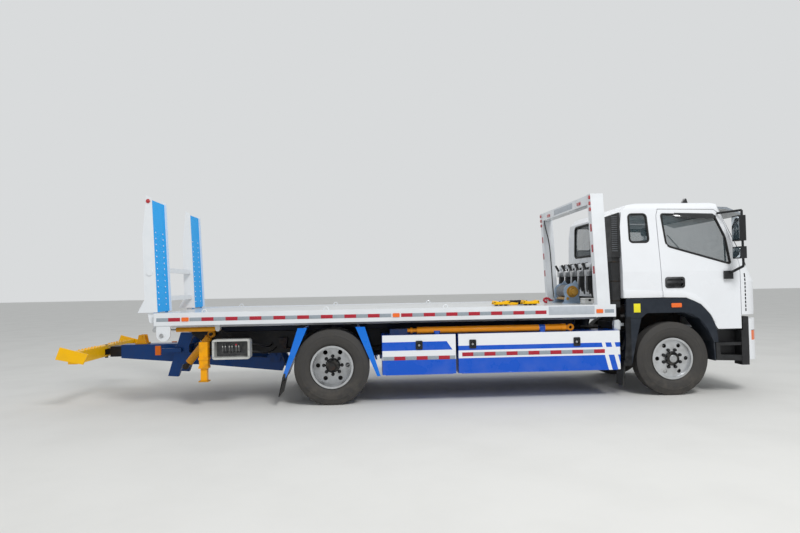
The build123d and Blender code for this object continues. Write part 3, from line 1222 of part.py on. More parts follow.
# Underlift: the lift arm with its beams, mast and boom tube; the inner boom; the crossbar
lift_eye = (rear_axle_x - 2020, 470)
beam_width = 70
beam_outline = [(lift_pivot_x + 90, 352), (lift_pivot_x + 130, 450), (lift_pivot_x + 55, 625),
                (lift_pivot_x - 55, 625), (lift_pivot_x - 130, 540), (rear_axle_x - 2080, 640),
                (rear_axle_x - 2230, 560), (rear_axle_x - 2170, 480), (rear_axle_x - 1771, 463)]
mast_outline = [(rear_axle_x - 2152, 919), (rear_axle_x - 1972, 915), (rear_axle_x - 2190, 305),
                (rear_axle_x - 2330, 317)]
boom_root_x = rear_axle_x - 2010
boom_wall = 14
mast_lamp_x = rear_axle_x - 2479
inner_boom_tip_x = rear_axle_x - 3196
with BuildPart() as lift_arm:
    for side in (-1, 1):
        y_low, y_high = mirrored((lift_half_width - beam_width, lift_half_width), side)
        side_plate(beam_outline, y_low, y_high)
        cross_tube(lift_pivot_x, lift_pivot_z, y_low - 1, y_high + 1, 26.3, mode=Mode.SUBTRACT)
        side_plate(mast_outline, y_low, y_high)
        y_low, y_high = mirrored((lift_half_width - 1, lift_cylinder_y - 26), side)
        cross_tube(lift_eye[0], lift_eye[1], y_low, y_high, 24)
    slab(boom_root_x - 230, boom_root_x - 30, -lift_half_width + 2, lift_half_width - 2, 520, 730)
    slab(rear_axle_x - 2140, rear_axle_x - 2050, -lift_half_width + 2, lift_half_width - 2, 830, 900)
    side_plate([(boom_root_x, boom_top_z), (boom_end_x, boom_top_z), (boom_end_x, 562),
                (rear_axle_x - 2343, boom_bottom_z), (boom_root_x, boom_bottom_z)],
               -boom_half_width, boom_half_width)
    slab(boom_end_x - 1, boom_root_x - 20, -boom_half_width + boom_wall, boom_half_width - boom_wall,
         576, boom_top_z - boom_wall, mode=Mode.SUBTRACT)
    slab(boom_end_x + 180, boom_end_x + 340, -80, 80, boom_top_z - 1, boom_top_z + 22)
    for bracket_y in (-62, 46):
        side_plate([(boom_end_x + 195, boom_top_z + 20), (boom_end_x + 325, boom_top_z + 20),
                    (boom_end_x + 300, 880), (boom_end_x + 220, 880)], bracket_y, bracket_y + 16)
    cross_tube(boom_end_x + 260, 850, -75, 75, 18)
    for side in (-1, 1):
        y_low, y_high = mirrored((lift_half_width - 1, 352), side)
        slab(mast_lamp_x, boom_root_x - 120, y_low, y_high, 655, 705)
        y_low, y_high = mirrored((340, 364), side)
        slab(mast_lamp_x, mast_lamp_x + 74, y_low, y_high, 618, 744)
keep(lift_arm, "lift_arm")

swivel_x = crossbar_x
fork_pin_y = crossbar_half_length - 120
fork_pin_radius = 16
bar_stud_rows = 6
bar_stud_pitch = 92
with BuildPart() as inner_boom:
    slab(inner_boom_tip_x, boom_end_x + 900, -boom_half_width + boom_wall + joint_clearance,
         boom_half_width - boom_wall - joint_clearance, 576 + joint_clearance,
         boom_top_z - boom_wall - joint_clearance)
    slab(swivel_x - 28, inner_boom_tip_x + 1, -60, 60, 615, 685)
    with BuildSketch(Plane.XY.offset(560)):
        with Locations((swivel_x, 0)):
            Circle(22)
    extrude(amount=190)
keep(inner_boom, "inner_boom")

with BuildPart() as crossbar:
    slab(swivel_x - 85, swivel_x + 35, -crossbar_half_length, crossbar_half_length, 588, 742)
    slab(swivel_x - 60, swivel_x + 36, -135, 135, 607, 693, mode=Mode.SUBTRACT)
    for index in range(bar_stud_rows):
        for side in (-1, 1):
            y = side * (230 + index * bar_stud_pitch)
            cross_bolt_x = swivel_x - 25
            with BuildSketch(Plane.XY.offset(741)):
                with Locations((cross_bolt_x - 38, y), (cross_bolt_x + 38, y)):
                    Circle(11)
            extrude(amount=11)
    with BuildSketch(Plane.XY.offset(587)):
        with Locations((swivel_x, 0)):
            Circle(22.3)
        with Locations(*[(swivel_x - 25, y) for y in (-fork_pin_y, fork_pin_y)]):
            Circle(fork_pin_radius)
    extrude(amount=160, mode=Mode.SUBTRACT)
    for side in (-1, 1):
        y_low, y_high = mirrored((crossbar_half_length - 1, crossbar_half_length + 24), side)
        side_plate([(rear_axle_x - 3467, 809), (rear_axle_x - 3116, 711), (rear_axle_x - 3180, 583),
                    (rear_axle_x - 3523, 656)], y_low, y_high)
keep(crossbar, "crossbar")

cylinder_pair("lift", lift_cylinder_top, lift_eye, lift_cylinder_y, 50, 26, 22, 0.88, 40)

# Stabiliser legs inside their tubes
for side, name in ((-1, "right"), (1, "left")):
    with BuildPart() as leg:
        half = leg_tube / 2 - leg_wall - joint_clearance
        y_low, y_high = sorted((side * leg_y - half, side * leg_y + half))
        slab(leg_x - half, leg_x + half, y_low, y_high, 340, leg_tube_top_z - 30)
        slab(leg_x - 62, leg_x + 62, side * leg_y - 62, side * leg_y + 62, 328, 341)
    keep(leg, "leg_" + name)

os.makedirs("parts", exist_ok=True)
for part in parts:
    export_step(part, "parts/" + part.label + ".step")
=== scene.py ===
import math
import random

import bpy
from mathutils import Matrix, Vector


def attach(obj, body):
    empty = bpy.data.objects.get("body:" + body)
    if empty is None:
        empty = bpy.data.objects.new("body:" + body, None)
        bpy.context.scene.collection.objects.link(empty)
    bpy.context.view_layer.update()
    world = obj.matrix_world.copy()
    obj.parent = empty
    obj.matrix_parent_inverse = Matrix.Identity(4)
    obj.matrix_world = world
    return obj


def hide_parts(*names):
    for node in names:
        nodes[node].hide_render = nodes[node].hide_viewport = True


# Flatbed tow truck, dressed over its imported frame. Metres; +X forward, +Y to the driver's left, +Z up.
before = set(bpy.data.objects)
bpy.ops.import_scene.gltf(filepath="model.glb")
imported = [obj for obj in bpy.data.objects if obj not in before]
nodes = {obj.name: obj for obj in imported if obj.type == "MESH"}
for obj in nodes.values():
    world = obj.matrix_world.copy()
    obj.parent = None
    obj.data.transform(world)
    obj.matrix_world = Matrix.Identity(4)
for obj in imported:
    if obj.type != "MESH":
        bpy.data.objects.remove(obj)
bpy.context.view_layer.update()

REAR = -1.135
FRONT = REAR + 4.52
AXLE_Z = 0.487
CAB_REAR = FRONT - 0.658
CAB_FRONT = FRONT + 1.25
DECK_NOSE = CAB_REAR - 0.137
DECK_TAIL = REAR - 2.223
DECK_HALF = 1.15
DECK_TOP = 1.228
DECK_FLOOR = 1.22
PORTAL = DECK_NOSE - 0.243
PORTAL_LEAN = 0.06 / (2.692 - DECK_TOP)
SIDES = ((-1, "right"), (1, "left"))
DOORS = ("door_right", "door_left")


# Paints and materials

# Orange peel of sprayed enamel, 3 mm across, drawn at 8 mm so that it shows
PEEL = ("Noise", 8.0, 0.12, {"values": {"Detail": 2.0}, "strength": 0.3})
# Leather-like grain of moulded plastic, cells of about 2 mm drawn at 5 mm
MOULDED = ("Voronoi", 5.0, 0.25, {"strength": 0.4})
# Sand-cast and forged skin, 3 mm grit
CAST = ("Noise", 3.0, 0.6, {"values": {"Detail": 3.0}, "strength": 0.5})
# Prism ribs of a moulded lens, 16 mm apart
RIBS = ("Wave", 50.0, 0.8, {"kind": {"bands_direction": "Z"}, "out": 1, "strength": 0.5})
# Honeycomb of reflective tape, 4 mm cells drawn at 9 mm
COMB = ("Voronoi", 9.0, 0.3, {"kind": {"feature": "DISTANCE_TO_EDGE"}, "strength": 0.3})
# Twill of woven cloth and ribs of webbing, 2 mm threads drawn at 7 mm
TWILL = ("Wave", 45.0, 0.6, {"kind": {"bands_direction": "DIAGONAL"}, "values": {"Distortion": 0.6},
    "out": 1, "strength": 0.5})
WEBBING = ("Wave", 40.0, 0.7, {"kind": {"bands_direction": "Z"}, "out": 1, "strength": 0.6})
# Chequer pads of a steel floor plate, 30 mm apart
CHEQUER = ("Voronoi", 30.0, 2.5, {"kind": {"feature": "DISTANCE_TO_EDGE"}, "strength": 0.7})


def paint(piece, material):
    """Gives a piece this material alone."""
    piece.data.materials.clear()
    piece.data.materials.append(material)


def linked(name, data):
    """A new object of the scene."""
    made = bpy.data.objects.new(name, data)
    bpy.context.scene.collection.objects.link(made)
    return made


def linear(hex_value):
    """An sRGB hex colour as linear RGBA."""
    out = []
    for shift in (16, 8, 0):
        c = ((hex_value >> shift) & 255) / 255
        out.append(c / 12.92 if c <= 0.04045 else ((c + 0.055) / 1.055) ** 2.4)
    return (*out, 1.0)


def feed(tree, socket, value):
    """Links an output to a socket, or sets the socket's value."""
    if isinstance(value, bpy.types.NodeSocket):
        tree.links.new(value, socket)
    else:
        socket.default_value = value


def add(tree, kind, settings=None, inputs=None, out=0):
    """Adds one node with its settings; inputs are values or links, by name or number. Gives an output."""
    made = tree.nodes.new("ShaderNode" + kind)
    for key, value in (settings or {}).items():
        setattr(made, key, value)
    for key, value in (inputs or {}).items():
        feed(tree, made.inputs[key], value)
    return made.outputs[out]


TIMES = {"operation": "MULTIPLY"}


def between(tree, split, x, y, z, slant=0):
    """1 where a point lies within the limits of x, |y| and z, else 0. slant shifts x with the height."""
    side = add(tree, "Math", {"operation": "ABSOLUTE"}, {0: split.outputs["Y"]})
    mask = None
    for limits, place in ((x, split.outputs["X"]), (y, side), (z, split.outputs["Z"])):
        if limits is None:
            continue
        low, high = limits
        if slant and limits is x:
            place = add(tree, "Math", {"operation": "MULTIPLY_ADD"}, {0: split.outputs["Z"], 1: slant,
                2: place})
            low, high = low + slant * z[0], high + slant * z[0]
        test = add(tree, "Math", {"operation": "COMPARE"}, {0: place, 1: (low + high) / 2,
            2: (high - low) / 2})
        mask = test if mask is None else add(tree, "Math", TIMES, {0: mask, 1: test})
    return mask


def finish(name, ground, rough=0.5, worn=None, zones=(), dusty=None, grain=PEEL, grain_zone=None,
        **sockets):
    """One material of a ground colour. rough: its roughness. worn: (colour, patch size in mm, share).
    zones: (colour, x, |y|, z) and a slant, painted over it. dusty: (colour, share, height where it ends).
    grain: (texture, spacing in mm, depth in mm, settings), all over or in grain_zone."""
    material = bpy.data.materials.new(name)
    material.use_nodes = True
    tree = material.node_tree
    shader = tree.nodes["Principled BSDF"]
    for key, value in {"Roughness": rough, **sockets}.items():
        shader.inputs[key.replace("_", " ")].default_value = value
    place = add(tree, "TexCoord", out="Object")
    split = add(tree, "SeparateXYZ", None, {0: place}).node
    layers = [(between(tree, split, *limits), colour) for colour, *limits in zones]
    patch_mm = worn[1] if worn else 150.0
    noise = add(tree, "TexNoise", None, {"Vector": place, "Scale": 1000.0 / patch_mm, "Detail": 6.0})
    patches = add(tree, "MapRange", None, {"Value": noise, "From Min": 0.42, "From Max": 0.68})
    if worn:
        layers.append((add(tree, "Math", TIMES, {0: patches, 1: worn[2]}), worn[0]))
    if dusty:
        low = add(tree, "MapRange", None, {"Value": split.outputs["Z"], "From Min": dusty[2],
            "From Max": 0.25, "To Max": dusty[1]})
        layers.append((add(tree, "Math", TIMES, {0: patches, 1: low}), dusty[0]))
    top = linear(ground)
    for mask, colour in layers:
        top = add(tree, "Mix", {"data_type": "RGBA"}, {0: mask, 6: top, 7: linear(colour)}, 2)
    feed(tree, shader.inputs["Base Color"], top)
    uneven = add(tree, "Math", {"operation": "MULTIPLY_ADD"}, {0: patches, 1: 0.14, 2: rough - 0.04})
    feed(tree, shader.inputs["Roughness"], uneven)
    if grain:
        texture, spacing, depth, extra = grain
        relief = add(tree, "Tex" + texture, extra.get("kind"), {"Vector": place, "Scale": 1000.0 / spacing,
            **extra.get("values", {})}, extra.get("out", 0))
        if grain_zone:
            mask = between(tree, split, *grain_zone)
            relief = add(tree, "Math", TIMES, {0: relief, 1: mask})
        bumped = add(tree, "Bump", None, {"Strength": extra.get("strength", 0.4), "Distance": depth / 1000,
            "Height": relief})
        feed(tree, shader.inputs["Normal"], bumped)
    return material


ROAD_DUST = 0xB4ADA0
OIL_DUST = 0x4A4640
CAB_WHITE = 0xEBEDF0
ENAMEL = {"rough": 0.3, "Coat_Weight": 0.2, "Coat_Roughness": 0.08, "Specular_IOR_Level": 0.25}
CAB_ENAMEL = {"worn": (0xDCDDDE, 420, 0.2), "dusty": (ROAD_DUST, 0.12, 1.1), **ENAMEL}
CHASSIS_ENAMEL = {"rough": 0.48, "Coat_Weight": 0.1, "Specular_IOR_Level": 0.2}
CRANE_ENAMEL = {"rough": 0.4, "Coat_Weight": 0.15, "Specular_IOR_Level": 0.2}

# Cab enamel: white, glossy and clean, a little dust low down
cab_white = finish("white_cab_enamel", CAB_WHITE, **CAB_ENAMEL)
# The same enamel on the doors, with the moulded black handle; its recess is painted darker than the
# handle's frame, a painted shade
door_white = finish("white_door_enamel", CAB_WHITE, zones=[(colour, (FRONT - 0.086, FRONT + 0.184), y,
    (1.427, 1.575)) for colour, y in ((0x121316, (1.0805, 1.2)), (0x08090A, (1.055, 1.0795)))],
    **CAB_ENAMEL)
# The same enamel on the front panel; the air slits at its corners are black inside
front_white = finish("white_front_panel_enamel", CAB_WHITE, zones=[(0x0C0C0E,
    (FRONT + 0.983, FRONT + 1.029), (1.03, 1.0685), (1.09, 1.61)), (0x0C0C0E, None, (0, 0.625),
    (1.205, 1.52))], **CAB_ENAMEL)
# Deck enamel: white, less glossy; the floor is chequer plate, scuffed grey
deck_white = finish("white_deck_enamel_on_chequer_plate", 0xE4E7EA, 0.4, (0xB4B4B0, 300, 0.16),
    [(0xC9CBCB, None, (0, 1.088), (1.2175, 1.2235)), (0x8D9196, (DECK_TAIL, DECK_TAIL + 0.24),
    (1.1485, 1.2), (0.9, 1.06))], dusty=(ROAD_DUST, 0.1, 1.2), grain=CHEQUER,
    grain_zone=(None, (0, 1.088), (1.2175, 1.2235)), Coat_Weight=0.3)
portal_white = finish("white_portal_enamel", 0xE8EBEE, 0.36, (0xC4C6C6, 260, 0.25), Coat_Weight=0.35)
# Ramps: white side sheets; the treads between them are azure, scuffed by tyres
RAMP_SHEETS = (0.5535, 1.0985)
ramp_paint = finish("white_and_azure_ramp_enamel", 0xE6E9EC, 0.5, (0x9FB7C6, 120, 0.06),
    [(0x00A8F6, (DECK_TAIL - 0.11, DECK_TAIL + 0.012), RAMP_SHEETS, (1.28, 2.71)),
    (0x00A8F6, (DECK_TAIL - 0.02, DECK_TAIL + 0.012), RAMP_SHEETS, (1.2, 1.29)),
    *[(0xF2F4F5, (DECK_TAIL + 0.004, DECK_TAIL + 0.014), y, (1.32, 2.28), 0.0447)
    for y in ((0.68, 0.7), (0.952, 0.972))]], Specular_IOR_Level=0.2)
guard_blue = finish("blue_guard_enamel_with_rubber_flap", 0x0072DC, zones=[(0x141416,
    (REAR - 0.72, REAR - 0.59), (0.6, 1.2), (0.1, 0.424))], dusty=(ROAD_DUST, 0.12, 0.9), **ENAMEL)
box_blue = finish("blue_box_enamel", 0x0050BC, dusty=(ROAD_DUST, 0.12, 0.9), **ENAMEL)
# Yellow-orange enamel of the stowed bar, in navy and blue clamps
BAR = REAR + 1.112
bar_orange = finish("orange_tow_bar_enamel", 0xE88F08, zones=[(0x14305E, (BAR - 0.4, BAR - 0.128),
    (0.9, 1.1), (0.85, 1.0)), (0x1A55B8, (BAR + 0.22, BAR + 0.3), (0.9, 1.1), (0.85, 0.925)),
    (0x1A55B8, (BAR + 1.62, BAR + 1.7), (0.9, 1.1), (0.85, 1.0))], worn=(0x9C7A3A, 90, 0.1), **CRANE_ENAMEL)
cylinder_orange = finish("orange_cylinder_enamel", 0xE2980F, worn=(0x6E5A34, 70, 0.15),
    dusty=(OIL_DUST, 0.2, 1.1), **CRANE_ENAMEL)
crane_yellow = finish("yellow_crane_enamel", 0xFFC200, worn=(0xB98A2C, 90, 0.12),
    dusty=(ROAD_DUST, 0.03, 0.9), **CRANE_ENAMEL)
crane_navy = finish("navy_crane_enamel", 0x003E80, zones=[(0xF5AE0A, (REAR - 2.9, REAR - 2.66), (0, 0.1),
    (0.749, 0.9)), (0xEE7412, (REAR - 2.49, REAR - 2.4), (0.3395, 0.38), (0.6, 0.76))],
    worn=(0x3C3F45, 90, 0.08), dusty=(OIL_DUST, 0.12, 1.0), **CRANE_ENAMEL)
# Black enamel of the sliding boom, painted near-black partly as painted shade, where the boom's end lies in
# the shadow of its tube
boom_black_and_shade = finish("black_boom_enamel_with_painted_shade", 0x14161B, worn=(0x3A3733, 60, 0.3), **CHASSIS_ENAMEL)
frame_navy = finish("navy_tilt_frame_enamel", 0x04132C, worn=(0x1E2228, 120, 0.5), **CHASSIS_ENAMEL)
# Chassis enamel: black, oily and dusty; the stabiliser tubes are yellow, the lift's plates navy
LEG = REAR - 1.65
chassis_black = finish("black_chassis_enamel", 0x17181B, zones=[(0xFCAC00, (LEG - 0.07, LEG + 0.07),
    (0.88, 1.02), (0.48, 0.85)), (0x003E80, (REAR - 0.99, REAR - 0.68), (0.29, 0.36), (0.45, 0.8))],
    worn=(0x3A3733, 90, 0.25), dusty=(OIL_DUST, 0.25, 1.0), grain=CAST, **CHASSIS_ENAMEL)
leg_yellow = finish("yellow_leg_enamel", 0xFCAC00, zones=[(0xC98F12, None, None, (0.3, 0.345))],
    worn=(0xB98A2C, 60, 0.15), **CRANE_ENAMEL)
# Axles, springs and engine: black paint gone matt on castings, with brown rust
axle_iron = finish("cast_axle_iron", 0x1C1B1B, 0.75, (0x3E2D22, 60, 0.7), grain=CAST)
cabinet_grey = finish("grey_cabinet_enamel", 0xC4C5C1, 0.42, (0x8E8C86, 90, 0.3),
    [(0x3B3D40, (REAR - 1.495, REAR - 1.078), (0.85, 1.045), (0.645, 0.843))], Coat_Weight=0.2)
# Winch: gold enamel on drum and motor; its white brackets are painted pale blue-grey, a painted shade for
# white lying in shadow
winch_gold_and_shade = finish("gold_winch_enamel_with_shaded_brackets", 0xB98A2C, 0.42, (0x5E4A2A, 70, 0.3),
    [(0x9DB4CC, None, (0.199, 0.2485), (1.1, 1.6)), (0x9DB4CC, None, (0.19, 0.28), (1.1, 1.236))],
    Coat_Weight=0.25)
# Grey fender plastic; its rear strip is painted near-black: the black rubber flap low down, and above it
# painted shade on the fender's rear edge
fender_grey_and_shade = finish("grey_fender_polypropylene", 0x222831, 0.48, (0x3A4049, 120, 0.25),
    [(0x0E0F11, (FRONT - 0.75, FRONT - 0.565), None, (0.1, 1.06))], dusty=(ROAD_DUST, 0.08, 0.9),
    grain=MOULDED, Specular_IOR_Level=0.25)
trim_black = finish("black_trim_polypropylene", 0x141517, 0.5, (0x3A3B3D, 90, 0.3), grain=MOULDED)
mirror_black = finish("black_mirror_abs", 0x101114, 0.32, (0x2E2F31, 90, 0.2), grain=MOULDED)
gloss_black = finish("gloss_black_abs", 0x0B0C0E, 0.2, (0x222325, 60, 0.2), Coat_Weight=0.5)
slat_grey = finish("grey_slat_polypropylene", 0x55585C, 0.42, (0x3C3F42, 60, 0.4), grain=MOULDED)
smoke_acrylic = finish("smoked_acrylic_deflector", 0x15181B, 0.1, IOR=1.49, Coat_Weight=0.6, Alpha=0.85)
visor_acrylic = finish("grey_acrylic_visor", 0x8D949B, 0.12, (0x6A7178, 120, 0.3), IOR=1.49,
    Coat_Weight=0.5)
seal_rubber = finish("black_seal_rubber", 0x0D0D0E, 0.65, (0x2C2C2C, 40, 0.3), grain=CAST)
tyre_rubber = finish("dusty_tyre_rubber", 0x393735, 0.75, (0x504D48, 90, 0.3), dusty=(0x6B645B, 0.2, 0.35),
    grain=CAST)
hose_rubber = finish("black_hose_rubber", 0x121213, 0.6, (0x34322F, 30, 0.4), grain=WEBBING)
SILVER = {"Metallic": 0.8, "rough": 0.34}
HUB_HEIGHTS = (AXLE_Z - 0.15, AXLE_Z + 0.15)
front_disc = finish("silver_front_disc_enamel", 0xC8CACC, zones=[(0x1A1B1D, (FRONT - 0.15, FRONT + 0.15),
    (1.0235, 1.1), HUB_HEIGHTS)], worn=(0x8B8780, 90, 0.3), **SILVER)
rear_disc = finish("silver_rear_disc_enamel", 0xC2C4C6, zones=[(0x1A1B1D, (REAR - 0.15, REAR + 0.15),
    (0.8745, 1.1), HUB_HEIGHTS)], worn=(0x85817A, 90, 0.3), **SILVER)
# Safety glass, tinted grey-green, seen through
cab_glazing = finish("tinted_safety_glass", 0x40555C, 0.05, grain=None, IOR=1.52, Coat_Weight=0.6,
    Alpha=0.24)
LENS = {"grain": RIBS, "rough": 0.14, "IOR": 1.49, "Coat_Weight": 0.6}
amber_lens = finish("amber_acrylic_lens", 0xF06A12, **LENS)
red_lens = finish("red_acrylic_lens", 0xB3141E, zones=[(0xF06A12, None, (1.1499, 1.2), (1.1, 1.2)),
    (0xE9E4DC, (-9, DECK_TAIL), (0.23, 0.3), (1.08, 1.2)), (0xF06A12, (-9, DECK_TAIL), (0.4, 0.5),
    (1.08, 1.2))], **LENS)
clear_lens = finish("clear_polycarbonate_lamp", 0xD3D8DC, 0.1, (0x9FA6AC, 60, 0.4), grain=RIBS, IOR=1.58,
    Coat_Weight=0.7, Metallic=0.3)
# Headlamps: dark housing with two bright reflectors and an amber corner under a clear cover
head_lamp = finish("clear_headlamp_over_reflectors", 0x3A3E43, 0.1, zones=[(0xE3E6E8, None, (0.63, 0.75),
    (0.725, 0.82)), (0xE3E6E8, None, (0.78, 0.93), (0.725, 0.82)), (0xF06A12, None, (0.985, 1.2),
    (0.7, 0.84))], grain=RIBS, IOR=1.58, Coat_Weight=0.8)
tape_red = finish("red_reflective_tape", 0xB0142C, 0.35, (0x7E0C1F, 14, 0.3), grain=COMB)
tape_silver = finish("silver_reflective_tape", 0x9DA6AE, 0.35, (0x7B848C, 14, 0.3), grain=COMB,
    Metallic=0.2)
label_yellow = finish("blank_yellow_vinyl", 0xEFE21B, 0.4, (0xD0C52A, 40, 0.2))
label_grey = finish("blank_grey_vinyl", 0xB7BDC4, 0.4, (0xA2A8AF, 60, 0.3))
rod_chrome = finish("hard_chromed_rod", 0xD6D8DA, 0.16, Metallic=1.0)
zinc_steel = finish("zinc_plated_steel", 0xB9BBBD, 0.36, (0x8F908E, 25, 0.4), grain=CAST, Metallic=1.0)
chain_steel = finish("oiled_chain_steel", 0x2E2D2C, 0.5, (0x4A3A2C, 20, 0.5), grain=CAST, Metallic=0.8)
nut_steel = finish("phosphated_nut_steel", 0x26282B, 0.42, (0x45413B, 20, 0.4), grain=CAST, Metallic=0.5)
rope_steel = finish("galvanised_wire_rope", 0x8E9093, 0.45, (0x5C5A56, 20, 0.5),
    grain=("Wave", 18.0, 0.8, {"kind": {"bands_direction": "DIAGONAL"}, "out": 1, "strength": 0.8}),
    Metallic=0.8)
hook_red = finish("red_hook_enamel", 0xB5122A, 0.42, (0x5A1A1E, 25, 0.4), grain=CAST, Coat_Weight=0.3)
mirror_glass = finish("silvered_mirror_glass", 0xC4CCD1, 0.06, grain=None, Metallic=1.0)
seat_cloth = finish("grey_woven_seat_cloth", 0x35383E, 0.9, (0x474B52, 60, 0.5), grain=TWILL,
    Sheen_Weight=0.3)
strap_black = finish("black_strap_webbing", 0x101114, 0.85, (0x25272B, 40, 0.5), grain=WEBBING,
    Sheen_Weight=0.2)
white_abs = finish("white_moulded_abs", 0xE9E9E6, 0.4, (0xCFCEC9, 60, 0.3), grain=MOULDED)


def box_door_paint(name, stripe, tape_z, slant, slashes):
    """White box doors: a blue foot and a blue stripe above the tape, both cut by white slashes."""
    zones = [(0x0054C8, None, None, (0.3, tape_z)), (0x0054C8, (-9, stripe[2]), None, stripe[:2], slant)]
    for x in slashes:
        zones.append((CAB_WHITE, (x, x + 0.049), None, (0.368, 0.75), 0.25))
    for latch_x in LATCHES:
        zones.append((0x0E0F11, (latch_x - 0.05, latch_x + 0.05), (1.1005, 1.2), (0.68, 0.81)))
        zones.append((0x0E0F11, (latch_x - 0.03, latch_x + 0.03), (1.0, 1.0995), (0.7, 0.79)))
    return finish(name, CAB_WHITE, zones=zones, worn=(0xC9CCCF, 200, 0.03), dusty=(ROAD_DUST, 0.05, 0.6),
        **ENAMEL)


BOX_RIGHT_LONG = (REAR + 1.64, FRONT - 0.73)
BOX_RIGHT_SMALL = (REAR + 0.65, REAR + 1.61)
BOX_LEFT = (BOX_RIGHT_SMALL[0], BOX_RIGHT_LONG[1])
LATCHES = [sum(BOX_RIGHT_SMALL) / 2]
for low, high in (BOX_RIGHT_LONG, BOX_LEFT):
    LATCHES += [low + 0.19, low + 0.73 * (high - low)]
SLASHES = (REAR + 3.631, REAR + 3.757)
small_box_paint = box_door_paint("white_and_blue_small_box_enamel", (0.681, 0.792, REAR + 1.564), 0.558,
    0.67, ())
long_box_paint = box_door_paint("white_and_blue_long_box_enamel", (0.667, 0.727, 9), 0.565, 0, SLASHES)

# The looks of the nodes; a name that ends with _ stands for the right one and the left one
finishes = {chassis_black: "chassis_frame", leg_yellow: "leg_",
    axle_iron: "front_axle rear_axle engine_block knuckle_ tie_rod", box_blue: "side_boxes",
    guard_blue: "rear_guards", bar_orange: "tow_bar",
    cylinder_orange: "tilt_cylinders ramp_cylinders lift_cylinders", visor_acrylic: "sun_visor",
    trim_black: "air_intake dashboard cab_steps grille", mirror_black: "mirror_",
    cabinet_grey: "control_panel", cab_white: "cab_shell front_bumper", front_white: "cab_front",
    door_white: "door_", fender_grey_and_shade: "fenders", head_lamp: "head_lamps", red_lens: "deck_lamps",
    cab_glazing: "cab_glass door_glass_", frame_navy: "tilt_frame", crane_navy: "lift_arm",
    deck_white: "deck", portal_white: "portal_frame", ramp_paint: "ramps", winch_gold_and_shade: "winch",
    rod_chrome: "tilt_rods ramp_rods", chain_steel: "lift_rods", boom_black_and_shade: "inner_boom",
    crane_yellow: "crossbar", small_box_paint: "box_door_right_small",
    long_box_paint: "box_door_right_long box_door_left", front_disc: "rim_front_", rear_disc: "rims_rear_",
    tyre_rubber: "tyre_front_ tyres_rear_", seat_cloth: "seats", strap_black: "strap_rack"}
for material, names in finishes.items():
    for name in names.split():
        for ending in ("right", "left") if name.endswith("_") else ("",):
            paint(nodes[name + ending], material)


# Ways of making a piece

def named(name):
    """Names the active piece and its mesh."""
    piece = bpy.context.object
    piece.name = piece.data.name = name
    return piece


def select_only(piece):
    bpy.ops.object.select_all(action="DESELECT")
    piece.select_set(True)
    bpy.context.view_layer.objects.active = piece


def to_edit():
    """Edit mode, with everything selected."""
    bpy.ops.object.mode_set(mode="EDIT")
    bpy.ops.mesh.select_all(action="SELECT")


def to_object():
    bpy.ops.object.mode_set(mode="OBJECT")


def settle(name):
    """Applies the new piece's place, turn and size to its mesh, and names it."""
    bpy.ops.object.transform_apply(location=True, rotation=True, scale=True)
    return named(name)


def apply_modifier(piece, kind, **settings):
    """Adds a modifier with its settings and applies it."""
    select_only(piece)
    made = piece.modifiers.new(kind.lower(), kind)
    for key, value in settings.items():
        setattr(made, key, value)
    bpy.ops.object.modifier_apply(modifier=made.name)
    return piece


def break_edges(piece, width, segments=2):
    """Rounds the sharp edges."""
    return apply_modifier(piece, "BEVEL", width=width, segments=segments, limit_method="ANGLE",
        angle_limit=math.radians(40))


def block(name, low, high, edge=0.002):
    """A block between two corners, its edges broken."""
    bpy.ops.mesh.primitive_cube_add(size=1, location=[(a + b) / 2 for a, b in zip(low, high)],
        scale=[abs(b - a) for a, b in zip(low, high)])
    return break_edges(settle(name), edge)


def bar(name, start, end, radius, edge=0.002, sides=20):
    """A round bar between two points, its ends chamfered."""
    start, end = Vector(start), Vector(end)
    turn = (end - start).to_track_quat("Z", "Y").to_euler()
    bpy.ops.mesh.primitive_cylinder_add(vertices=sides, radius=radius, depth=(end - start).length,
        location=(start + end) / 2, rotation=turn)
    return break_edges(settle(name), edge, 1)


def outline(name, points):
    """A row of edges drawn out from its first point."""
    bpy.ops.mesh.primitive_plane_add(size=0.001, location=points[0])
    piece = settle(name)
    to_edit()
    bpy.ops.mesh.merge(type="CENTER")
    for before, after in zip(points, points[1:]):
        step = [b - a for a, b in zip(before, after)]
        bpy.ops.mesh.extrude_region_move(TRANSFORM_OT_translate={"value": step})
    to_object()
    return piece


def tidy_faces(piece):
    """Merges doubles and turns all faces outwards."""
    to_edit()
    bpy.ops.mesh.remove_doubles(threshold=0.00005)
    bpy.ops.mesh.normals_make_consistent(inside=False)
    to_object()
    return piece


def fill_loop(corner):
    """Fills the closed outline in edit with a face, its corners rounded."""
    bpy.ops.mesh.edge_face_add()
    if corner:
        bpy.ops.mesh.bevel(offset=corner, offset_type="OFFSET", segments=4, affect="VERTICES")
        bpy.ops.mesh.select_all(action="SELECT")


def plate(name, points, depth, edge=0.002, corner=0):
    """A plate: a closed outline of points, its corners rounded, extruded by depth."""
    piece = outline(name, points)
    to_edit()
    fill_loop(corner)
    bpy.ops.mesh.extrude_region_move(TRANSFORM_OT_translate={"value": depth})
    to_object()
    tidy_faces(piece)
    return break_edges(piece, edge) if edge else piece


def turned(name, profile, centre, axis=(0, 1, 0), steps=32):
    """A turned piece: the outline of its half section, spun about an axis through centre."""
    piece = outline(name, profile)
    to_edit()
    bpy.ops.mesh.spin(steps=steps, angle=2 * math.pi, center=centre, axis=axis)
    to_object()
    return tidy_faces(piece)


def spun(name, x, z, section, steps=32):
    """A piece turned about a line across the truck at x and z; section is (y, radius)."""
    return turned(name, [(x, y, z + r) for y, r in section], (x, 0, z), steps=steps)


def bead(name, radius, closed=True, resolution=2):
    """Makes the active row of edges a round bead."""
    bpy.ops.object.convert(target="CURVE")
    curve = bpy.context.object.data
    for spline in curve.splines:
        spline.use_cyclic_u = closed
    curve.bevel_depth = radius
    curve.bevel_resolution = resolution
    curve.use_fill_caps = True
    bpy.ops.object.convert(target="MESH")
    return tidy_faces(named(name))


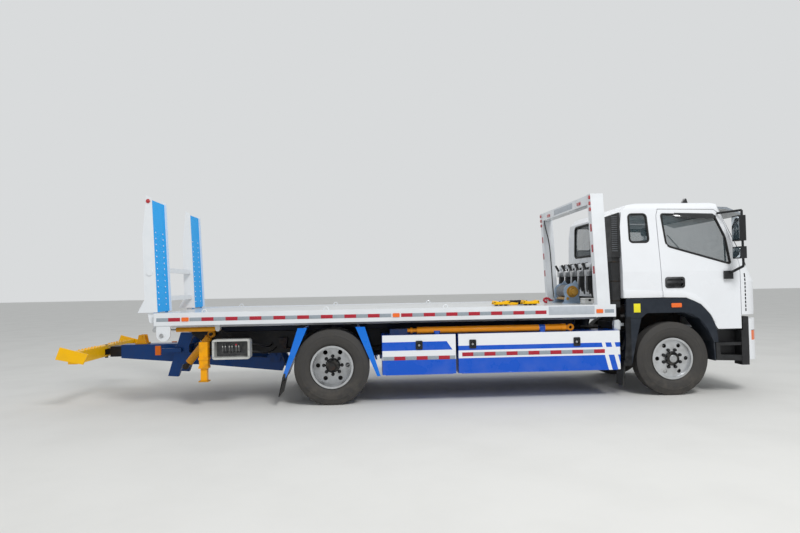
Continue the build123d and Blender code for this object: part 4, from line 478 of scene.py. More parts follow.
def tube(name, points, radius, closed=False, resolution=2, corner=0):
    """A round bead or tube along points, in a ring where closed."""
    outline(name, points)
    if corner:
        to_edit()
        fill_loop(corner)
        bpy.ops.mesh.delete(type="ONLY_FACE")
        to_object()
    return bead(name, radius, closed, resolution)


def joined(name, pieces):
    """Several solids as one object."""
    bpy.ops.object.select_all(action="DESELECT")
    for piece in pieces:
        piece.select_set(True)
    bpy.context.view_layer.objects.active = pieces[0]
    if len(pieces) > 1:
        bpy.ops.object.join()
    return named(name)


def side_on(x, y, points):
    """An outline seen from the side: points (along, z) counted from x, in the plane of y."""
    return [(x + along, y, z) for along, z in points]


def across(x, y, z):
    """A rectangle square to x between two values of y and of z."""
    return [(x, y[0], z[0]), (x, y[1], z[0]), (x, y[1], z[1]), (x, y[0], z[1])]


def shifted(x, points):
    """Points with x counted from a base."""
    return [(x + along, y, z) for along, y, z in points]


def copy_at(piece, name, matrix):
    """A copy with its own mesh, moved and turned by a matrix."""
    mesh = piece.data.copy()
    mesh.transform(matrix)
    if matrix.determinant() < 0:
        mesh.flip_normals()
    return linked(name, mesh)


def fit(piece, material, body, smooth=35):
    """Gives a piece its material, shades it and lets it ride on a body of the truck."""
    paint(piece, material)
    select_only(piece)
    bpy.ops.object.shade_smooth_by_angle(angle=math.radians(smooth))
    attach(piece, body)
    return piece


MIRROR = Matrix.Scale(-1, 4, (0, 1, 0))


def both_sides(piece, material, bodies, ending="_right"):
    """Fits a piece of the right side and its mirror image, and names both; bodies are one or a pair."""
    pair = bodies if isinstance(bodies, tuple) else (bodies, bodies)
    other = copy_at(piece, piece.name + "_left", MIRROR)
    piece.name += ending
    fit(piece, material, pair[0])
    fit(other, material, pair[1])


# Tyres: carcass with sidewall rings, tread ribs and grooves cut in the shoulders

TYRE_SECTION = [(-0.086, 0.266), (-0.086, 0.279), (-0.104, 0.297), (-0.112, 0.318), (-0.1165, 0.337),
    (-0.1165, 0.345), (-0.1185, 0.349), (-0.1195, 0.38), (-0.1175, 0.4), (-0.1195, 0.404),
    (-0.1185, 0.412), (-0.1155, 0.416), (-0.109, 0.445), (-0.104, 0.461), (-0.089, 0.4865),
    (-0.064, 0.4868), (-0.062, 0.4755), (-0.055, 0.4755), (-0.053, 0.487), (-0.022, 0.487),
    (-0.02, 0.4755), (-0.014, 0.4755), (-0.012, 0.487)]
FRONT_TYRE_Y = 0.952
TWIN_Y = (0.984, 0.716)
TYRE_PROFILE = TYRE_SECTION + [(-y, r) for y, r in reversed(TYRE_SECTION)] + [TYRE_SECTION[0]]


def tyre(name, axle_x, centre_y):
    """One tyre, turned about its axle; every third shoulder face is cut in as a groove."""
    piece = spun(name, axle_x, AXLE_Z, [(centre_y + y, r) for y, r in TYRE_PROFILE], 90)
    middle = Vector((axle_x, centre_y, AXLE_Z))
    for face in piece.data.polygons:
        offset = face.center - middle
        radius = math.hypot(offset.x, offset.z)
        turn = math.degrees(math.atan2(offset.z, offset.x)) % 12
        face.select = 0.064 < abs(offset.y) < 0.1 and radius > 0.47 and turn < 4
    bpy.ops.object.mode_set(mode="EDIT")
    bpy.ops.mesh.select_mode(type="FACE")
    bpy.ops.mesh.extrude_region_shrink_fatten(TRANSFORM_OT_shrink_fatten={"value": -0.011})
    bpy.ops.mesh.select_mode(type="VERT")
    to_object()
    return piece


for side, hand in SIDES:
    front_tyre = tyre("tread_front_" + hand, FRONT, side * FRONT_TYRE_Y)
    fit(front_tyre, tyre_rubber, "wheel_front_" + hand, 25)
    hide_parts("tyre_front_" + hand)
    twins = joined("tread_rear_" + hand, [tyre("twin", REAR, side * y) for y in TWIN_Y])
    fit(twins, tyre_rubber, "wheels_rear_" + hand, 25)
    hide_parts("tyres_rear_" + hand)


# Wheel nuts with their flanges, hub rings, and the oil caps of the front hubs

NUT_CIRCLE = 0.12
HUB_RING = [(0.083, -0.002), (0.097, -0.002), (0.097, 0.009), (0.094, 0.012), (0.0875, 0.0135),
    (0.0855, 0.039), (0.083, 0.039), (0.083, -0.002)]
OIL_CAP = [(0, 1.058), (0.05, 1.058), (0.05, 1.071), (0.046, 1.0745), (0.02, 1.0765), (0, 1.0765)]


def wheel_nuts(name, axle_x, face, side, first_turn):
    """Eight hexagon nuts on flanges round the axle; face is |y| of the disc."""
    nuts = []
    for index in range(8):
        turn = math.radians(first_turn + 45 * index)
        x, z = axle_x + NUT_CIRCLE * math.cos(turn), AXLE_Z + NUT_CIRCLE * math.sin(turn)
        for part, near, far, radius, edge, sides in (("nut", 0.001, 0.029, 0.0195, 0.002, 6),
                ("flange", -0.002, 0.006, 0.0235, 0.0015, 20)):
            nuts.append(bar(part, (x, side * (face + near), z), (x, side * (face + far), z), radius, edge,
                sides))
    return joined(name, nuts)


for side, hand in SIDES:
    for name, body, axle_x, face, first_turn in (("front", "wheel_front_", FRONT, 1.022, 22.5),
            ("rear", "wheels_rear_", REAR, 0.873, 0)):
        fit(wheel_nuts("nuts_" + name + "_" + hand, axle_x, face, side, first_turn), nut_steel,
            body + hand)
        fit(spun("hub_ring_" + name + "_" + hand, axle_x, AXLE_Z, [(side * (face + y), r)
            for r, y in HUB_RING]), gloss_black, body + hand)
    fit(spun("oil_cap_" + hand, FRONT, AXLE_Z, [(side * y, r) for r, y in OIL_CAP]), zinc_steel,
        "wheel_front_" + hand)

# Reflective tape: red and silver turn by turn along the deck rails and box doors

TAPES = {True: ("_red", tape_red, "lamp_red"), False: ("_silver", tape_silver, "box_white")}
BOX_FACE = -1.1


def tape(name, start, end, length, heights, y, red):
    """A row of tape on the right side, red and silver by turns, each colour as one piece."""
    rows = {True: [], False: []}
    while start < end - 0.03:
        stop = min(start + length, end)
        rows[red].append(block("tape_piece", (start, y - 0.0012, heights[0]),
            (stop, y + 0.001, heights[1]), 0.0004))
        start, red = stop, not red
    return [(joined(name + TAPES[colour][0], pieces), *TAPES[colour][1:])
        for colour, pieces in rows.items() if pieces]


for name, start, end, length, red in (("tail", -2.19, -1.895, 0.1475, False),
        ("rear", -1.78, 0.775, 0.1502, False), ("front", 0.9, 2.8, 0.1462, True),
        ("nose", 3.575, 3.7, 0.2, False)):
    for row, material, slot in tape("tape_rail_" + name, REAR + start, REAR + end, length, (1.119, 1.166),
            -DECK_HALF, red):
        both_sides(row, material, "deck", "")
for name, span, near_end, far_end, length, heights, body, red in (("small", BOX_RIGHT_SMALL, 0.01, 0.01,
        0.1445, (0.558, 0.606), "right_small", False), ("long", BOX_RIGHT_LONG, 0.05, 0.18, 0.1455,
        (0.589, 0.64), "right_long", True), ("left", BOX_LEFT, 0.05, 0.18, 0.1455, (0.589, 0.64), "left",
        True)):
    for row, material, slot in tape("tape_" + name + "_box", span[0] + near_end, span[1] - far_end, length,
            heights, BOX_FACE, red):
        if name == "left":
            right = row
            row = copy_at(right, right.name + "_left", MIRROR)
            bpy.data.objects.remove(right)
        fit(row, material, "box_door_" + body)

# Blank panels and labels
both_sides(block("blank_rail_panel", (REAR + 2.83, -1.1515, 1.106), (REAR + 3.44, -1.149, 1.214), 0.0006),
    label_grey, "deck")
both_sides(block("blank_fender_label", (REAR + 3.995, -1.0865, 1.112), (REAR + 4.085, -1.084, 1.228),
    0.0006), label_yellow, "chassis")
fit(block("blank_beam_panel", (PORTAL - 0.0545, -0.42, 2.585), (PORTAL - 0.051, 0.42, 2.665), 0.0008),
    label_grey, "deck")
fit(plate("blank_front_plate", across(CAB_FRONT - 0.0075, (-0.22, 0.22), (0.7, 0.84)), (0.004, 0, 0),
    0.001, 0.012), white_abs, "chassis")

# Marker lamps: amber on the fenders, small red ones at the ramp tops; red strips on the portal's posts
both_sides(break_edges(plate("fender_marker", side_on(REAR, -1.084, [(4.505, 1.169), (4.646, 1.169),
    (4.646, 1.226), (4.505, 1.226)]), (0, -0.013, 0), 0.003, 0.012), 0.001), amber_lens, "chassis")
both_sides(spun("ramp_top_lamp", DECK_TAIL - 0.075, 2.655, [(-1.111 - step, r)
    for step, r in ((0, 0.0001), (0, 0.026), (0.008, 0.026), (0.013, 0.018), (0.014, 0.0001))]), red_lens,
    "ramps")
strips = []
for z in (2.244, 1.969, 1.685):
    face_x = PORTAL - (z - DECK_TOP) * PORTAL_LEAN
    lean = 0.05 * PORTAL_LEAN
    strips.append(plate("post_strip", [(face_x + lean, -1.128, z - 0.05), (face_x + lean, -1.072,
        z - 0.05), (face_x - lean, -1.072, z + 0.05), (face_x - lean, -1.128, z + 0.05)], (-0.002, 0, 0),
        0.0006))
both_sides(joined("post_strips", strips), tape_red, "deck")

# Rubber window seals, smoked wind deflectors, pressed flares and the wipers

def wall_y(z):
    """The cab's side wall: upright to the belt, then leaning in to the roof."""
    return -1.08 + max(0, z - 1.65) * 0.08 / 0.935


def seal(name, base, points, corner):
    """A seal round a side window: (x, z) points counted from base on the right wall."""
    return tube(name, [(base + x, wall_y(z) + 0.004, z) for x, z in points], 0.015, True, 2, corner)


both_sides(seal("door_window_seal", FRONT, [(-0.042, 2.03), (-0.086, 2.425), (0.65, 2.4), (0.778, 2.105),
    (0.825, 1.738), (-0.01, 1.985)], 0.03), seal_rubber, DOORS)
both_sides(seal("quarter_window_seal", CAB_REAR, [(0.122, 2.048), (0.122, 2.427), (0.364, 2.427),
    (0.382, 2.048)], 0.045), seal_rubber, "cab")
fit(tube("rear_window_seal", shifted(CAB_REAR, [(0.002, -0.74, 1.92), (0.002, 0.74, 1.92),
    (0.018, 0.74, 2.41), (0.018, -0.74, 2.41)]), 0.018, True, 2, 0.06), seal_rubber, "cab")


def screen_x(y, z):
    """The windscreen's face: leaning back, and rounded at the cab's corners."""
    corner = max(0, abs(y) - 0.79)
    round_off = 0.29 - math.sqrt(0.29 ** 2 - min(corner, 0.28) ** 2)
    return CAB_FRONT - 0.07 - (z - 1.66) * 0.4583 - round_off


screen_seal = outline("windscreen_outline", [(0, -0.93, 1.712), (0, 0.93, 1.712), (0, 0.86, 2.452),
    (0, -0.86, 2.452)])
to_edit()
fill_loop(0.07)
bpy.ops.mesh.delete(type="ONLY_FACE")
bpy.ops.mesh.select_all(action="SELECT")
bpy.ops.mesh.subdivide(number_cuts=7)
to_object()
for point in screen_seal.data.vertices:
    point.co.x = screen_x(point.co.y, point.co.z) + 0.003
fit(bead("windscreen_seal", 0.015), seal_rubber, "cab")

both_sides(plate("wind_deflector", [(FRONT + x, wall_y(z) - out, z) for x, z, out in ((0.1, 2.44, 0.006),
    (0.63, 2.425, 0.006), (0.675, 2.385, 0.02), (0.62, 2.35, 0.046), (0.2, 2.362, 0.046),
    (0.08, 2.4, 0.02))], (0, 0.004, 0), 0.001), smoke_acrylic, DOORS)

# Raised flares pressed in the cab side above the fender
SIDE_SKIN = -1.078
FLARE_FOOT = [(-0.118, 1.304), (0.19, 1.297), (0.3, 1.252), (0.392, 1.206), (0.458, 1.138), (0.52, 1.068),
    (0.556, 1.0), (0.574, 0.962)]
FLARE_TOP = [(0.6, 0.962), (0.587, 1.02), (0.557, 1.095), (0.512, 1.17), (0.455, 1.234), (0.39, 1.29),
    (0.32, 1.335), (0.231, 1.372), (0.12, 1.387), (-0.118, 1.39)]
both_sides(plate("door_flare", side_on(FRONT, SIDE_SKIN, FLARE_FOOT + FLARE_TOP), (0, -0.013, 0), 0.006),
    cab_white, DOORS)
both_sides(plate("cab_flare", side_on(0, SIDE_SKIN, [(CAB_REAR + 0.004, 1.304), (FRONT - 0.128, 1.304),
    (FRONT - 0.128, 1.39), (CAB_REAR + 0.004, 1.41)]), (0, -0.013, 0), 0.006), cab_white, "cab")


def on_screen(y, z, out):
    """A point at a distance before the windscreen's face."""
    return Vector((screen_x(y, z) + out, y, z))


for side, hand in SIDES:
    foot = on_screen(side * 0.35, 1.69, 0.035)
    tip = Vector((screen_x(side * 0.48, 2.05) + 0.03, side * 0.62, 2.02))
    arm = plate("wiper_arm", [end + Vector((0, y, 0)) for end, y in ((foot, -0.011), (foot, 0.011),
        (tip, 0.006), (tip, -0.006))], (0.008, 0, 0), 0.002)
    blade = bar("wiper_blade", on_screen(side * 0.42, 1.76, 0.02), on_screen(side * 0.78, 2.28, 0.02),
        0.008, 0.003, 10)
    boss = turned("wiper_boss", [foot + Vector((x, r, 0)) for x, r in ((-0.03, 0.0001), (-0.03, 0.022),
        (0.008, 0.02), (0.014, 0.012), (0.014, 0.0001))], foot, (1, 0, 0), 20)
    fit(joined("wiper_" + hand, [arm, blade, boss]), gloss_black, "cab")

# Cab body details: rear wall pressings, roof aerial foot, mirror glasses
ribs = [plate("pressing", across(CAB_REAR, (-0.66, 0.66), (z, z + 0.05)), (-0.007, 0, 0), 0.005, 0.02)
    for z in (1.42, 1.53, 1.64, 1.75)]
fit(joined("rear_wall_pressings", ribs), cab_white, "cab")
fit(plate("roof_aerial_foot", side_on(REAR, -0.79, [(4.86, 2.575), (4.95, 2.575), (4.925, 2.665),
    (4.905, 2.672), (4.875, 2.62)]), (0, 0.07, 0), 0.012), gloss_black, "cab")
MIRROR_FACE = FRONT + 0.865 - 0.0895
for z_low, z_high, label in ((2.045, 2.345, "main"), (1.812, 1.943, "wide")):
    both_sides(plate(label + "_mirror_glass", across(MIRROR_FACE, (-1.37, -1.21), (z_low, z_high)),
        (-0.0035, 0, 0), 0.001, 0.02), mirror_glass, DOORS)


# Seats: moulded pedestals with cushions filled by a cloth simulation

def cushion(name, x, points, y_low, y_high, cap):
    """A cushion: its side outline widened across the truck, remeshed and blown up like a pad."""
    piece = plate(name, side_on(x, y_low, points), (0, y_high - y_low, 0), 0.022)
    apply_modifier(piece, "REMESH", mode="VOXEL", voxel_size=0.017)
    rest = [point.co.copy() for point in piece.data.vertices]
    cloth = piece.modifiers.new("stuffing", "CLOTH")
    cloth.settings.use_pressure = True
    cloth.settings.uniform_pressure_force = 4.0
    cloth.settings.effector_weights.gravity = 0
    for number in range(1, 15):
        bpy.context.scene.frame_set(number)
    bpy.ops.object.modifier_apply(modifier=cloth.name)
    for point, before in zip(piece.data.vertices, rest):
        move = point.co - before
        if move.length > cap:
            point.co = before + move * (cap / move.length)
    bpy.context.scene.frame_set(1)
    apply_modifier(piece, "SMOOTH", factor=0.5, iterations=6)
    fit(piece, seat_cloth, "cab", 60)


SEAT_FLOOR = 1.343
SEAT_Y = 0.52
BENCH_HALF = 0.86
for side, hand in SIDES:
    seat_y = side * SEAT_Y
    for part, points, half, cap, fill in (("base", [(0.1, 1.5), (0.47, 1.51), (0.49, 1.555), (0.47, 1.595),
            (0.14, 1.585), (0.1, 1.55)], 0.225, 0.014, 0.7), ("back", [(0.075, 1.6), (0, 2.13),
            (-0.085, 2.13), (0.005, 1.59)], 0.225, 0.013, 0.7), ("head", [(-0.022, 2.17), (-0.04, 2.295),
            (-0.1, 2.29), (-0.09, 2.165)], 0.125, 0.008, 0.8)):
        cushion("seat_" + part + "_" + hand, FRONT, points, seat_y - half, seat_y + half, cap)
    pedestal = plate("seat_pedestal_" + hand, side_on(FRONT, seat_y - 0.2, [(0.05, SEAT_FLOOR),
        (0.43, SEAT_FLOOR), (0.4, 1.49), (0.03, 1.49)]), (0, 0.4, 0), 0.012)
    posts = [bar("head_post", (FRONT - 0.045, seat_y + offset, 2.11), (FRONT - 0.055, seat_y + offset,
        2.18), 0.006, 0.001, 10) for offset in (-0.06, 0.06)]
    fit(joined("seat_stand_" + hand, [pedestal] + posts), trim_black, "cab")
    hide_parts("seats")
cushion("bench_base", CAB_REAR, [(0.075, 1.5), (0.425, 1.5), (0.43, 1.59), (0.075, 1.59)], -BENCH_HALF,
    BENCH_HALF, 0.014)
cushion("bench_back", CAB_REAR, [(0.055, 1.62), (0.15, 1.62), (0.115, 1.9), (0.052, 1.9)], -BENCH_HALF,
    BENCH_HALF, 0.012)
fit(block("bench_box", (CAB_REAR + 0.062, -0.89, SEAT_FLOOR), (CAB_REAR + 0.415, 0.89, 1.495), 0.01),
    trim_black, "cab")

# Winch: rope turns on the drum, the free end over the guide bar to a red hook
WINCH = DECK_NOSE - 0.395
DRUM_X, DRUM_Z = WINCH + 0.13, 1.39
turns = [(-0.205, 0.084)]
for index in range(20):
    y = -0.205 + index * 0.0205
    turns += [(y + 0.003, 0.094), (y + 0.0103, 0.0985), (y + 0.0175, 0.094), (y + 0.0205, 0.0895)]
turns.append((0.206, 0.084))
fit(spun("rope_turns", DRUM_X, DRUM_Z, turns, 36), rope_steel, "deck")


def flexible(name, route, diameter, material, body):
    """A hose or rope: one smooth line through its route's points, round in section."""
    data = bpy.data.curves.new(name, "CURVE")
    data.dimensions = "3D"
    line = data.splines.new("NURBS")
    line.points.add(len(route) - 1)
    for point, place in zip(line.points, route):
        point.co = (*place, 1.0)
    line.order_u = 3
    line.use_endpoint_u = True
    line.resolution_u = 8
    data.bevel_depth = diameter / 2
    data.bevel_resolution = 3
    data.use_fill_caps = True
    piece = linked(name, data)
    data.materials.append(material)
    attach(piece, body)
    return piece


HOOK = Vector((WINCH - 0.145, 0, DECK_FLOOR))
hook_loop = [(0.02, 0), (0, 0.026), (-0.032, 0.036), (-0.064, 0.024), (-0.076, -0.004), (-0.062, -0.032),
    (-0.034, -0.036)]
hook = joined("winch_hook", [tube("hook_body", [(HOOK.x + x, y * 0.6, HOOK.z + 0.046 + y * 0.8)
    for x, y in hook_loop], 0.018, False, 3), tube("hook_eye", [(HOOK.x + 0.035 + 0.02 * math.cos(a),
    0.02 * math.sin(a), HOOK.z + 0.046) for a in (0, 1.05, 2.09, 3.14, 4.19, 5.24)], 0.008, True, 3),
    bar("hook_latch", (HOOK.x - 0.034, -0.02, HOOK.z + 0.017), (HOOK.x - 0.034, 0.02, HOOK.z + 0.075),
    0.007)])
fit(hook, hook_red, "deck")
ROPE = 0.011
route = shifted(WINCH, [(0.06, 0, 1.3185), (0.03, 0, 1.3195), (-0.01, 0, 1.306), (-0.045, 0, 1.278),
    (-0.075, 0, 1.262)])
route.append((HOOK.x + 0.054, 0, HOOK.z + 0.046))
rope = flexible("winch_rope", route, ROPE, rope_steel, "deck")


def hose(name, x, points, body="chassis", diameter=0.019):
    """A hanging hose or cable, its points counted along from x."""
    route = shifted(x, points)
    flexible(name, route, diameter, hose_rubber, body)


# Hydraulic hoses under the tail, from the control tray and the lift cylinders to the chassis rail
hose("hose_tray_upper", REAR, [(-1.06, -0.89, 0.79), (-1.00, -0.88, 0.795), (-0.93, -0.8, 0.76),
    (-0.88, -0.62, 0.72), (-0.86, -0.47, 0.745), (-0.86, -0.44, 0.745)])
hose("hose_tray_lower", REAR, [(-1.06, -0.89, 0.7), (-0.99, -0.88, 0.695), (-0.91, -0.8, 0.655),
    (-0.84, -0.62, 0.66), (-0.8, -0.47, 0.7), (-0.8, -0.44, 0.7)])
for side, hand in SIDES:
    points = [(-1.62, 0.5, 0.955), (-1.56, 0.52, 0.965), (-1.47, 0.56, 0.93), (-1.4, 0.52, 0.85),
        (-1.36, 0.46, 0.8), (-1.36, 0.435, 0.8)]
    hose("hose_lift_" + hand, REAR, [(x, side * y, z) for x, y, z in points])
# Lamp cable down the inner face of the left portal post
hose("portal_lamp_cable", PORTAL, [(-0.035, 1.0, 2.575), (-0.03, 1.023, 2.5), (0.05, 1.024, 2.2),
    (0.075, 1.024, 1.75), (0.09, 1.02, 1.35), (0.1, 0.99, 1.24)], "deck", 0.014)

# Strap rack: a pale bar on two posts, five hanging straps folded over it, each with a zinc ratchet
RACK = DECK_NOSE - 0.07
rack = [plate("rack_post", side_on(RACK, side * 0.84 - 0.02, [(-0.02, DECK_FLOOR), (0.02, DECK_FLOOR),
    (0.02, 1.76), (-0.02, 1.76)]), (0, 0.04, 0), 0.004) for side in (-1, 1)]
rack.append(block("rack_bar", (RACK - 0.02, -0.861, 1.74), (RACK + 0.02, 0.861, 1.8), 0.006))
rack_frame = fit(joined("strap_rack_frame", rack), portal_white, "deck")
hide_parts("strap_rack")


STRAP_WIDTH = 0.07


def strap(points, y):
    """A flat strap: a line seen from the side, widened across and thickened."""
    piece = outline("strap", side_on(RACK, y - STRAP_WIDTH / 2, points))
    to_edit()
    bpy.ops.mesh.extrude_region_move(TRANSFORM_OT_translate={"value": (0, STRAP_WIDTH, 0)})
    to_object()
    apply_modifier(piece, "SUBSURF", levels=2, render_levels=2)
    apply_modifier(piece, "SOLIDIFY", thickness=0.004, offset=0)
    return piece


straps, ratchets = [], []
for index in range(5):
    y = -0.6 + index * 0.3
    fall = (0, 0.035, 0.012, 0.05, 0.02)[index]
    straps.append(strap([(-0.03, 1.31 + fall), (-0.043, 1.42), (-0.04, 1.62), (-0.027, 1.77),
        (-0.018, 1.807), (0, 1.811), (0.02, 1.807), (0.027, 1.77), (0.026, 1.6), (0.026, 1.45 + fall)], y))
    for depth, low, high in ((0.052, 1.36, 1.69), (0.07, 1.35, 1.68), (0.088, 1.41, 1.665),
            (0.104, 1.38, 1.64)):
        straps.append(strap([(0.004 - depth, low + fall), (-0.003 - depth, low + 0.09),
            (-depth, high - 0.08), (0.008 - depth, high)], y + 0.1 * (depth - 0.08)))
    ratchets.append(block("ratchet_body", (RACK - 0.128, y - 0.04, 1.61), (RACK - 0.05, y + 0.04, 1.7),
        0.008))
    ratchets.append(bar("ratchet_pin", (RACK - 0.1, y - 0.052, 1.668), (RACK - 0.1, y + 0.052, 1.668),
        0.014, 0.002, 14))
    straps.append(plate("ratchet_handle", side_on(RACK, y - 0.03, [(-0.115, 1.68), (-0.095, 1.69),
        (-0.155, 1.8), (-0.172, 1.785)]), (0, 0.06, 0), 0.004))
fit(joined("hanging_straps", straps), strap_black, "deck")
fit(joined("strap_ratchets", ratchets), zinc_steel, "deck")

# Gear lying on the deck: two yellow wheel skates, a white box, and a heap of lashing chain

def skate(name, x, y):
    """A yellow frame on black rollers."""
    z = DECK_FLOOR
    rails = [plate("skate_rail", side_on(x, y + offset, [(0, z + 0.018), (0.24, z + 0.018),
        (0.225, z + 0.07), (0.12, z + 0.048), (0.015, z + 0.07)]), (0, 0.014, 0), 0.003)
        for offset in (-0.075, 0.061)]
    ends = [bar("skate_bar", (x + along, y - 0.075, z + 0.045), (x + along, y + 0.075, z + 0.045), 0.011,
        0.002, 12) for along in (0.02, 0.22)]
    fit(joined(name + "_frame", rails + ends), crane_yellow, "deck")
    rollers = [bar("roller", (x + along, y - 0.058, z + 0.02), (x + along, y + 0.058, z + 0.02), 0.019,
        0.004, 16) for along in (0.055, 0.12, 0.185)]
    fit(joined(name + "_rollers", rollers), seal_rubber, "deck")


skate("wheel_skate_rear", REAR + 2.2, -0.62)
skate("wheel_skate_front", REAR + 2.62, -0.58)
fit(break_edges(plate("lever_binder", side_on(REAR, -0.5, [(2.47, 1.222), (2.58, 1.222), (2.6, 1.25),
    (2.5, 1.262)]), (0, 0.05, 0), 0.004), 0.002), crane_yellow, "deck")
fit(block("white_tool_case", (REAR + 3.476, -0.7, DECK_FLOOR), (REAR + 3.62, -0.52, 1.303), 0.008),
    white_abs, "deck")
fit(joined("tool_case_lid_trim", [block("lid_line", (REAR + 3.474, -0.702, 1.278),
    (REAR + 3.622, -0.518, 1.282), 0.001), block("case_clasp", (REAR + 3.53, -0.706, 1.262),
    (REAR + 3.566, -0.699, 1.292), 0.002)]), trim_black, "deck")

link = tube("chain_link", [(x, y, 0) for x, y in ((-0.018, -0.009), (-0.011, -0.015), (0.011, -0.015),
    (0.018, -0.009), (0.018, 0.009), (0.011, 0.015), (-0.011, 0.015), (-0.018, 0.009))], 0.0045, True, 1)
scatter = random.Random(7)
links = []
angle, radius = 0, 0.19
for number in range(150):
    layer = number // 50
    wobble = 0.035 * math.sin(angle * 2.3) + scatter.uniform(-0.012, 0.012)
    x = REAR + 2.62 + (radius + wobble) * 1.45 * math.cos(angle)
    y = -0.18 + (radius + wobble) * math.sin(angle)
    heading = Matrix.Rotation(math.atan2(math.cos(angle), -1.45 * math.sin(angle)), 4, "Z")
    roll = Matrix.Rotation(math.radians(42 if number % 2 else -42) + scatter.uniform(-0.2, 0.2), 4, "X")
    z = DECK_FLOOR + 0.0165 + layer * 0.013
    links.append(copy_at(link, "chain_piece", Matrix.Translation((x, y, z)) @ heading @ roll))
    angle += 0.034 / (radius * 1.22)
    radius -= 0.00085
bpy.data.objects.remove(link)
fit(joined("lashing_chain", links), chain_steel, "deck")

# Lashing rings on the deck rails, the lamps and hoses behind the front fender, pins and slats
rings = [tube("ring", side_on(x, -1.12, [(-0.03, 1.222), (-0.028, 1.245), (-0.014, 1.263), (0.014, 1.263),
    (0.028, 1.245), (0.03, 1.222)]), 0.007) for x in (REAR - 1.6, REAR - 0.06, REAR + 1.48)]
both_sides(joined("lashing_rings", rings), portal_white, "deck")
both_sides(joined("work_lamp", [plate("lamp_body", side_on(REAR, -1.02, [(3.745, 0.88), (3.835, 0.88),
    (3.845, 0.99), (3.815, 1.02), (3.755, 1.01)]), (0, 0.07, 0), 0.008), block("lamp_bracket",
    (REAR + 3.8, -0.985, 0.93), (REAR + 3.9, -0.965, 0.97), 0.003)]), clear_lens, "chassis")

both_sides(tube("coolant_elbow", shifted(REAR, [(3.86, -0.98, 1.06), (3.905, -1.0, 1.07),
    (3.935, -1.01, 1.03), (3.94, -1.01, 0.93), (3.93, -1.01, 0.8), (3.895, -1.0, 0.7),
    (3.87, -0.98, 0.62)]), 0.026, False, 3), hose_rubber, "chassis")
both_sides(bar("ramp_pin", (DECK_TAIL + 0.096, -1.1, 0.945), (DECK_TAIL + 0.096, -1.158, 0.945), 0.026,
    0.004, 24), zinc_steel, "deck")
slats = [block("slat", (CAB_REAR - 0.122, -1.0455, z), (CAB_REAR - 0.045, -1.038, z + 0.012), 0.002)
    for z in [1.93 + 0.0285 * index for index in range(17)]]
fit(joined("intake_slats", slats), slat_grey, "chassis")

# Knobs on the levers in the control tray, one red; screws in its rim
TRAY = REAR - 1.525
black_knobs, red_knobs = [], []
for index, offset in enumerate((0.13, 0.165, 0.215, 0.25, 0.3, 0.335)):
    x = TRAY + offset
    knob = turned("knob", [(x + r, -1.04, 0.8 + z) for z, r in ((-0.012, 0.0001), (-0.01, 0.009),
        (0, 0.013), (0.01, 0.009), (0.013, 0.0001))], (x, -1.04, 0.8), (0, 0, 1), 16)
    (red_knobs if index == 4 else black_knobs).append(knob)
fit(joined("lever_knobs_black", black_knobs), gloss_black, "chassis", 60)
fit(joined("lever_knob_red", red_knobs), hook_red, "chassis", 60)
screws = [bar("screw", (TRAY + x, -1.064, z), (TRAY + x, -1.058, z), 0.007, 0.0015, 12)
    for x in (0.014, 0.463) for z in (0.65, 0.744, 0.838)]
fit(joined("tray_screws", screws), zinc_steel, "chassis")

# A lock barrel in each latch cup of the box doors; clamps round the intake pipe
for body, side, latches in (("box_door_right_small", -1, LATCHES[:1]), ("box_door_right_long", -1,
        LATCHES[1:3]), ("box_door_left", 1, LATCHES[3:])):
    barrels = [bar("lock_barrel", (x, side * 1.091, 0.745), (x, side * 1.104, 0.745), 0.016, 0.003, 18)
        for x in latches]
    fit(joined("locks_" + body, barrels), zinc_steel, body)
clamps = [block("pipe_clamp", (CAB_REAR - 0.1175, -1.0125, z), (CAB_REAR - 0.0135, -0.8275, z + 0.022),
    0.003) for z in (1.26, 1.52, 1.78)]
fit(joined("intake_clamps", clamps), chain_steel, "chassis")


# Floor, light and camera

bpy.ops.mesh.primitive_plane_add(size=160, location=(0, 0, 0))
floor = named("floor")
floor.data.materials.append(finish("pale_studio_floor", 0xDEDDD9, 0.85, (0xD6D5D1, 900, 0.5), grain=None))

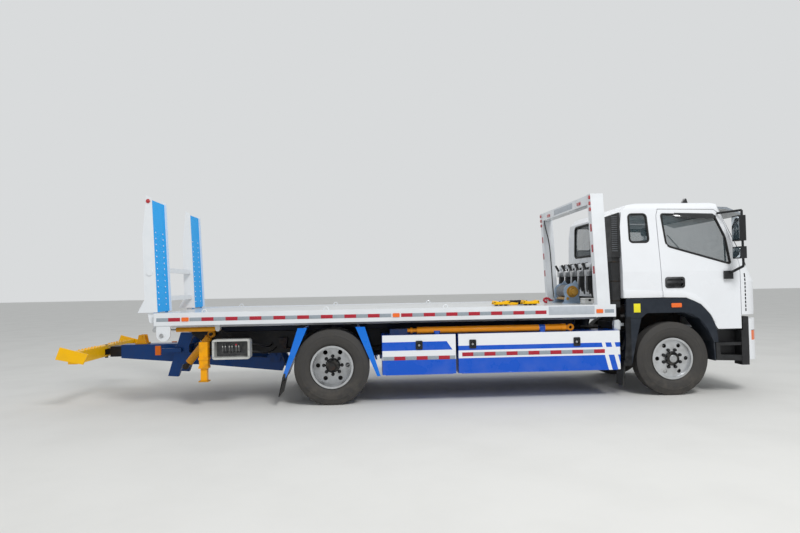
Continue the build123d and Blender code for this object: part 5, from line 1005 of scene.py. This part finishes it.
world = bpy.data.worlds.new("soft_studio")
bpy.context.scene.world = world
world.use_nodes = True
world_tree = world.node_tree
light = world_tree.nodes["Background"]
light.inputs["Color"].default_value = (0.94, 0.97, 1.0, 1.0)
light.inputs["Strength"].default_value = 0.62
ray = add(world_tree, "LightPath").node
seen = ray.outputs["Is Camera Ray"]
for other_ray in ("Is Glossy Ray", "Is Transmission Ray"):
    seen = add(world_tree, "Math", {"operation": "MAXIMUM"}, {0: seen, 1: ray.outputs[other_ray]})
backdrop = add(world_tree, "Background", None, {"Color": linear(0xD9DBDC), "Strength": 1.0})
mixed = add(world_tree, "MixShader", None, {0: seen, 1: light.outputs[0], 2: backdrop})
world_tree.links.new(mixed, world_tree.nodes["World Output"].inputs["Surface"])


def soft_lamp(name, place, target, size, power):
    """A large area lamp that looks at target."""
    data = bpy.data.lights.new(name, "AREA")
    data.shape = "RECTANGLE"
    data.size, data.size_y = size
    data.energy = power
    lamp = linked(name, data)
    lamp.location = place
    lamp.rotation_euler = (Vector(target) - Vector(place)).to_track_quat("-Z", "Y").to_euler()


soft_lamp("key", (3.5, -9.5, 11.0), (0, 0, 0.8), (3.5, 3.5), 900)
soft_lamp("fill", (-9.0, -7.0, 5.0), (-1.0, 0, 1.0), (6.0, 5.0), 60)
soft_lamp("back", (1.0, 10.0, 9.0), (0, 0, 1.0), (8.0, 5.0), 120)

# Camera at the photo's place: 27 mm lens on a 36 mm sensor, with the solved yaw, pitch and roll
YAW, PITCH, ROLL = 0.0534, 0.0309, -0.0176
ahead = Vector((math.sin(YAW) * math.cos(PITCH), math.cos(YAW) * math.cos(PITCH), math.sin(PITCH)))
right = Vector((math.cos(YAW), -math.sin(YAW), 0))
up = right.cross(ahead)
right_turned = right * math.cos(ROLL) + up * math.sin(ROLL)
up_turned = up * math.cos(ROLL) - right * math.sin(ROLL)
camera_data = bpy.data.cameras.new("photo_camera")
camera_data.sensor_width = 36.0
camera_data.lens = 27.0
camera_data.clip_end = 300.0
camera = linked("photo_camera", camera_data)
turn = Matrix((right_turned, up_turned, -ahead)).transposed().to_4x4()
camera.matrix_world = Matrix.Translation((REAR + 0.4838, -8.8799, 1.5303)) @ turn
bpy.context.scene.camera = camera
bpy.context.scene.view_settings.view_transform = "Standard"

bpy.context.view_layer.update()
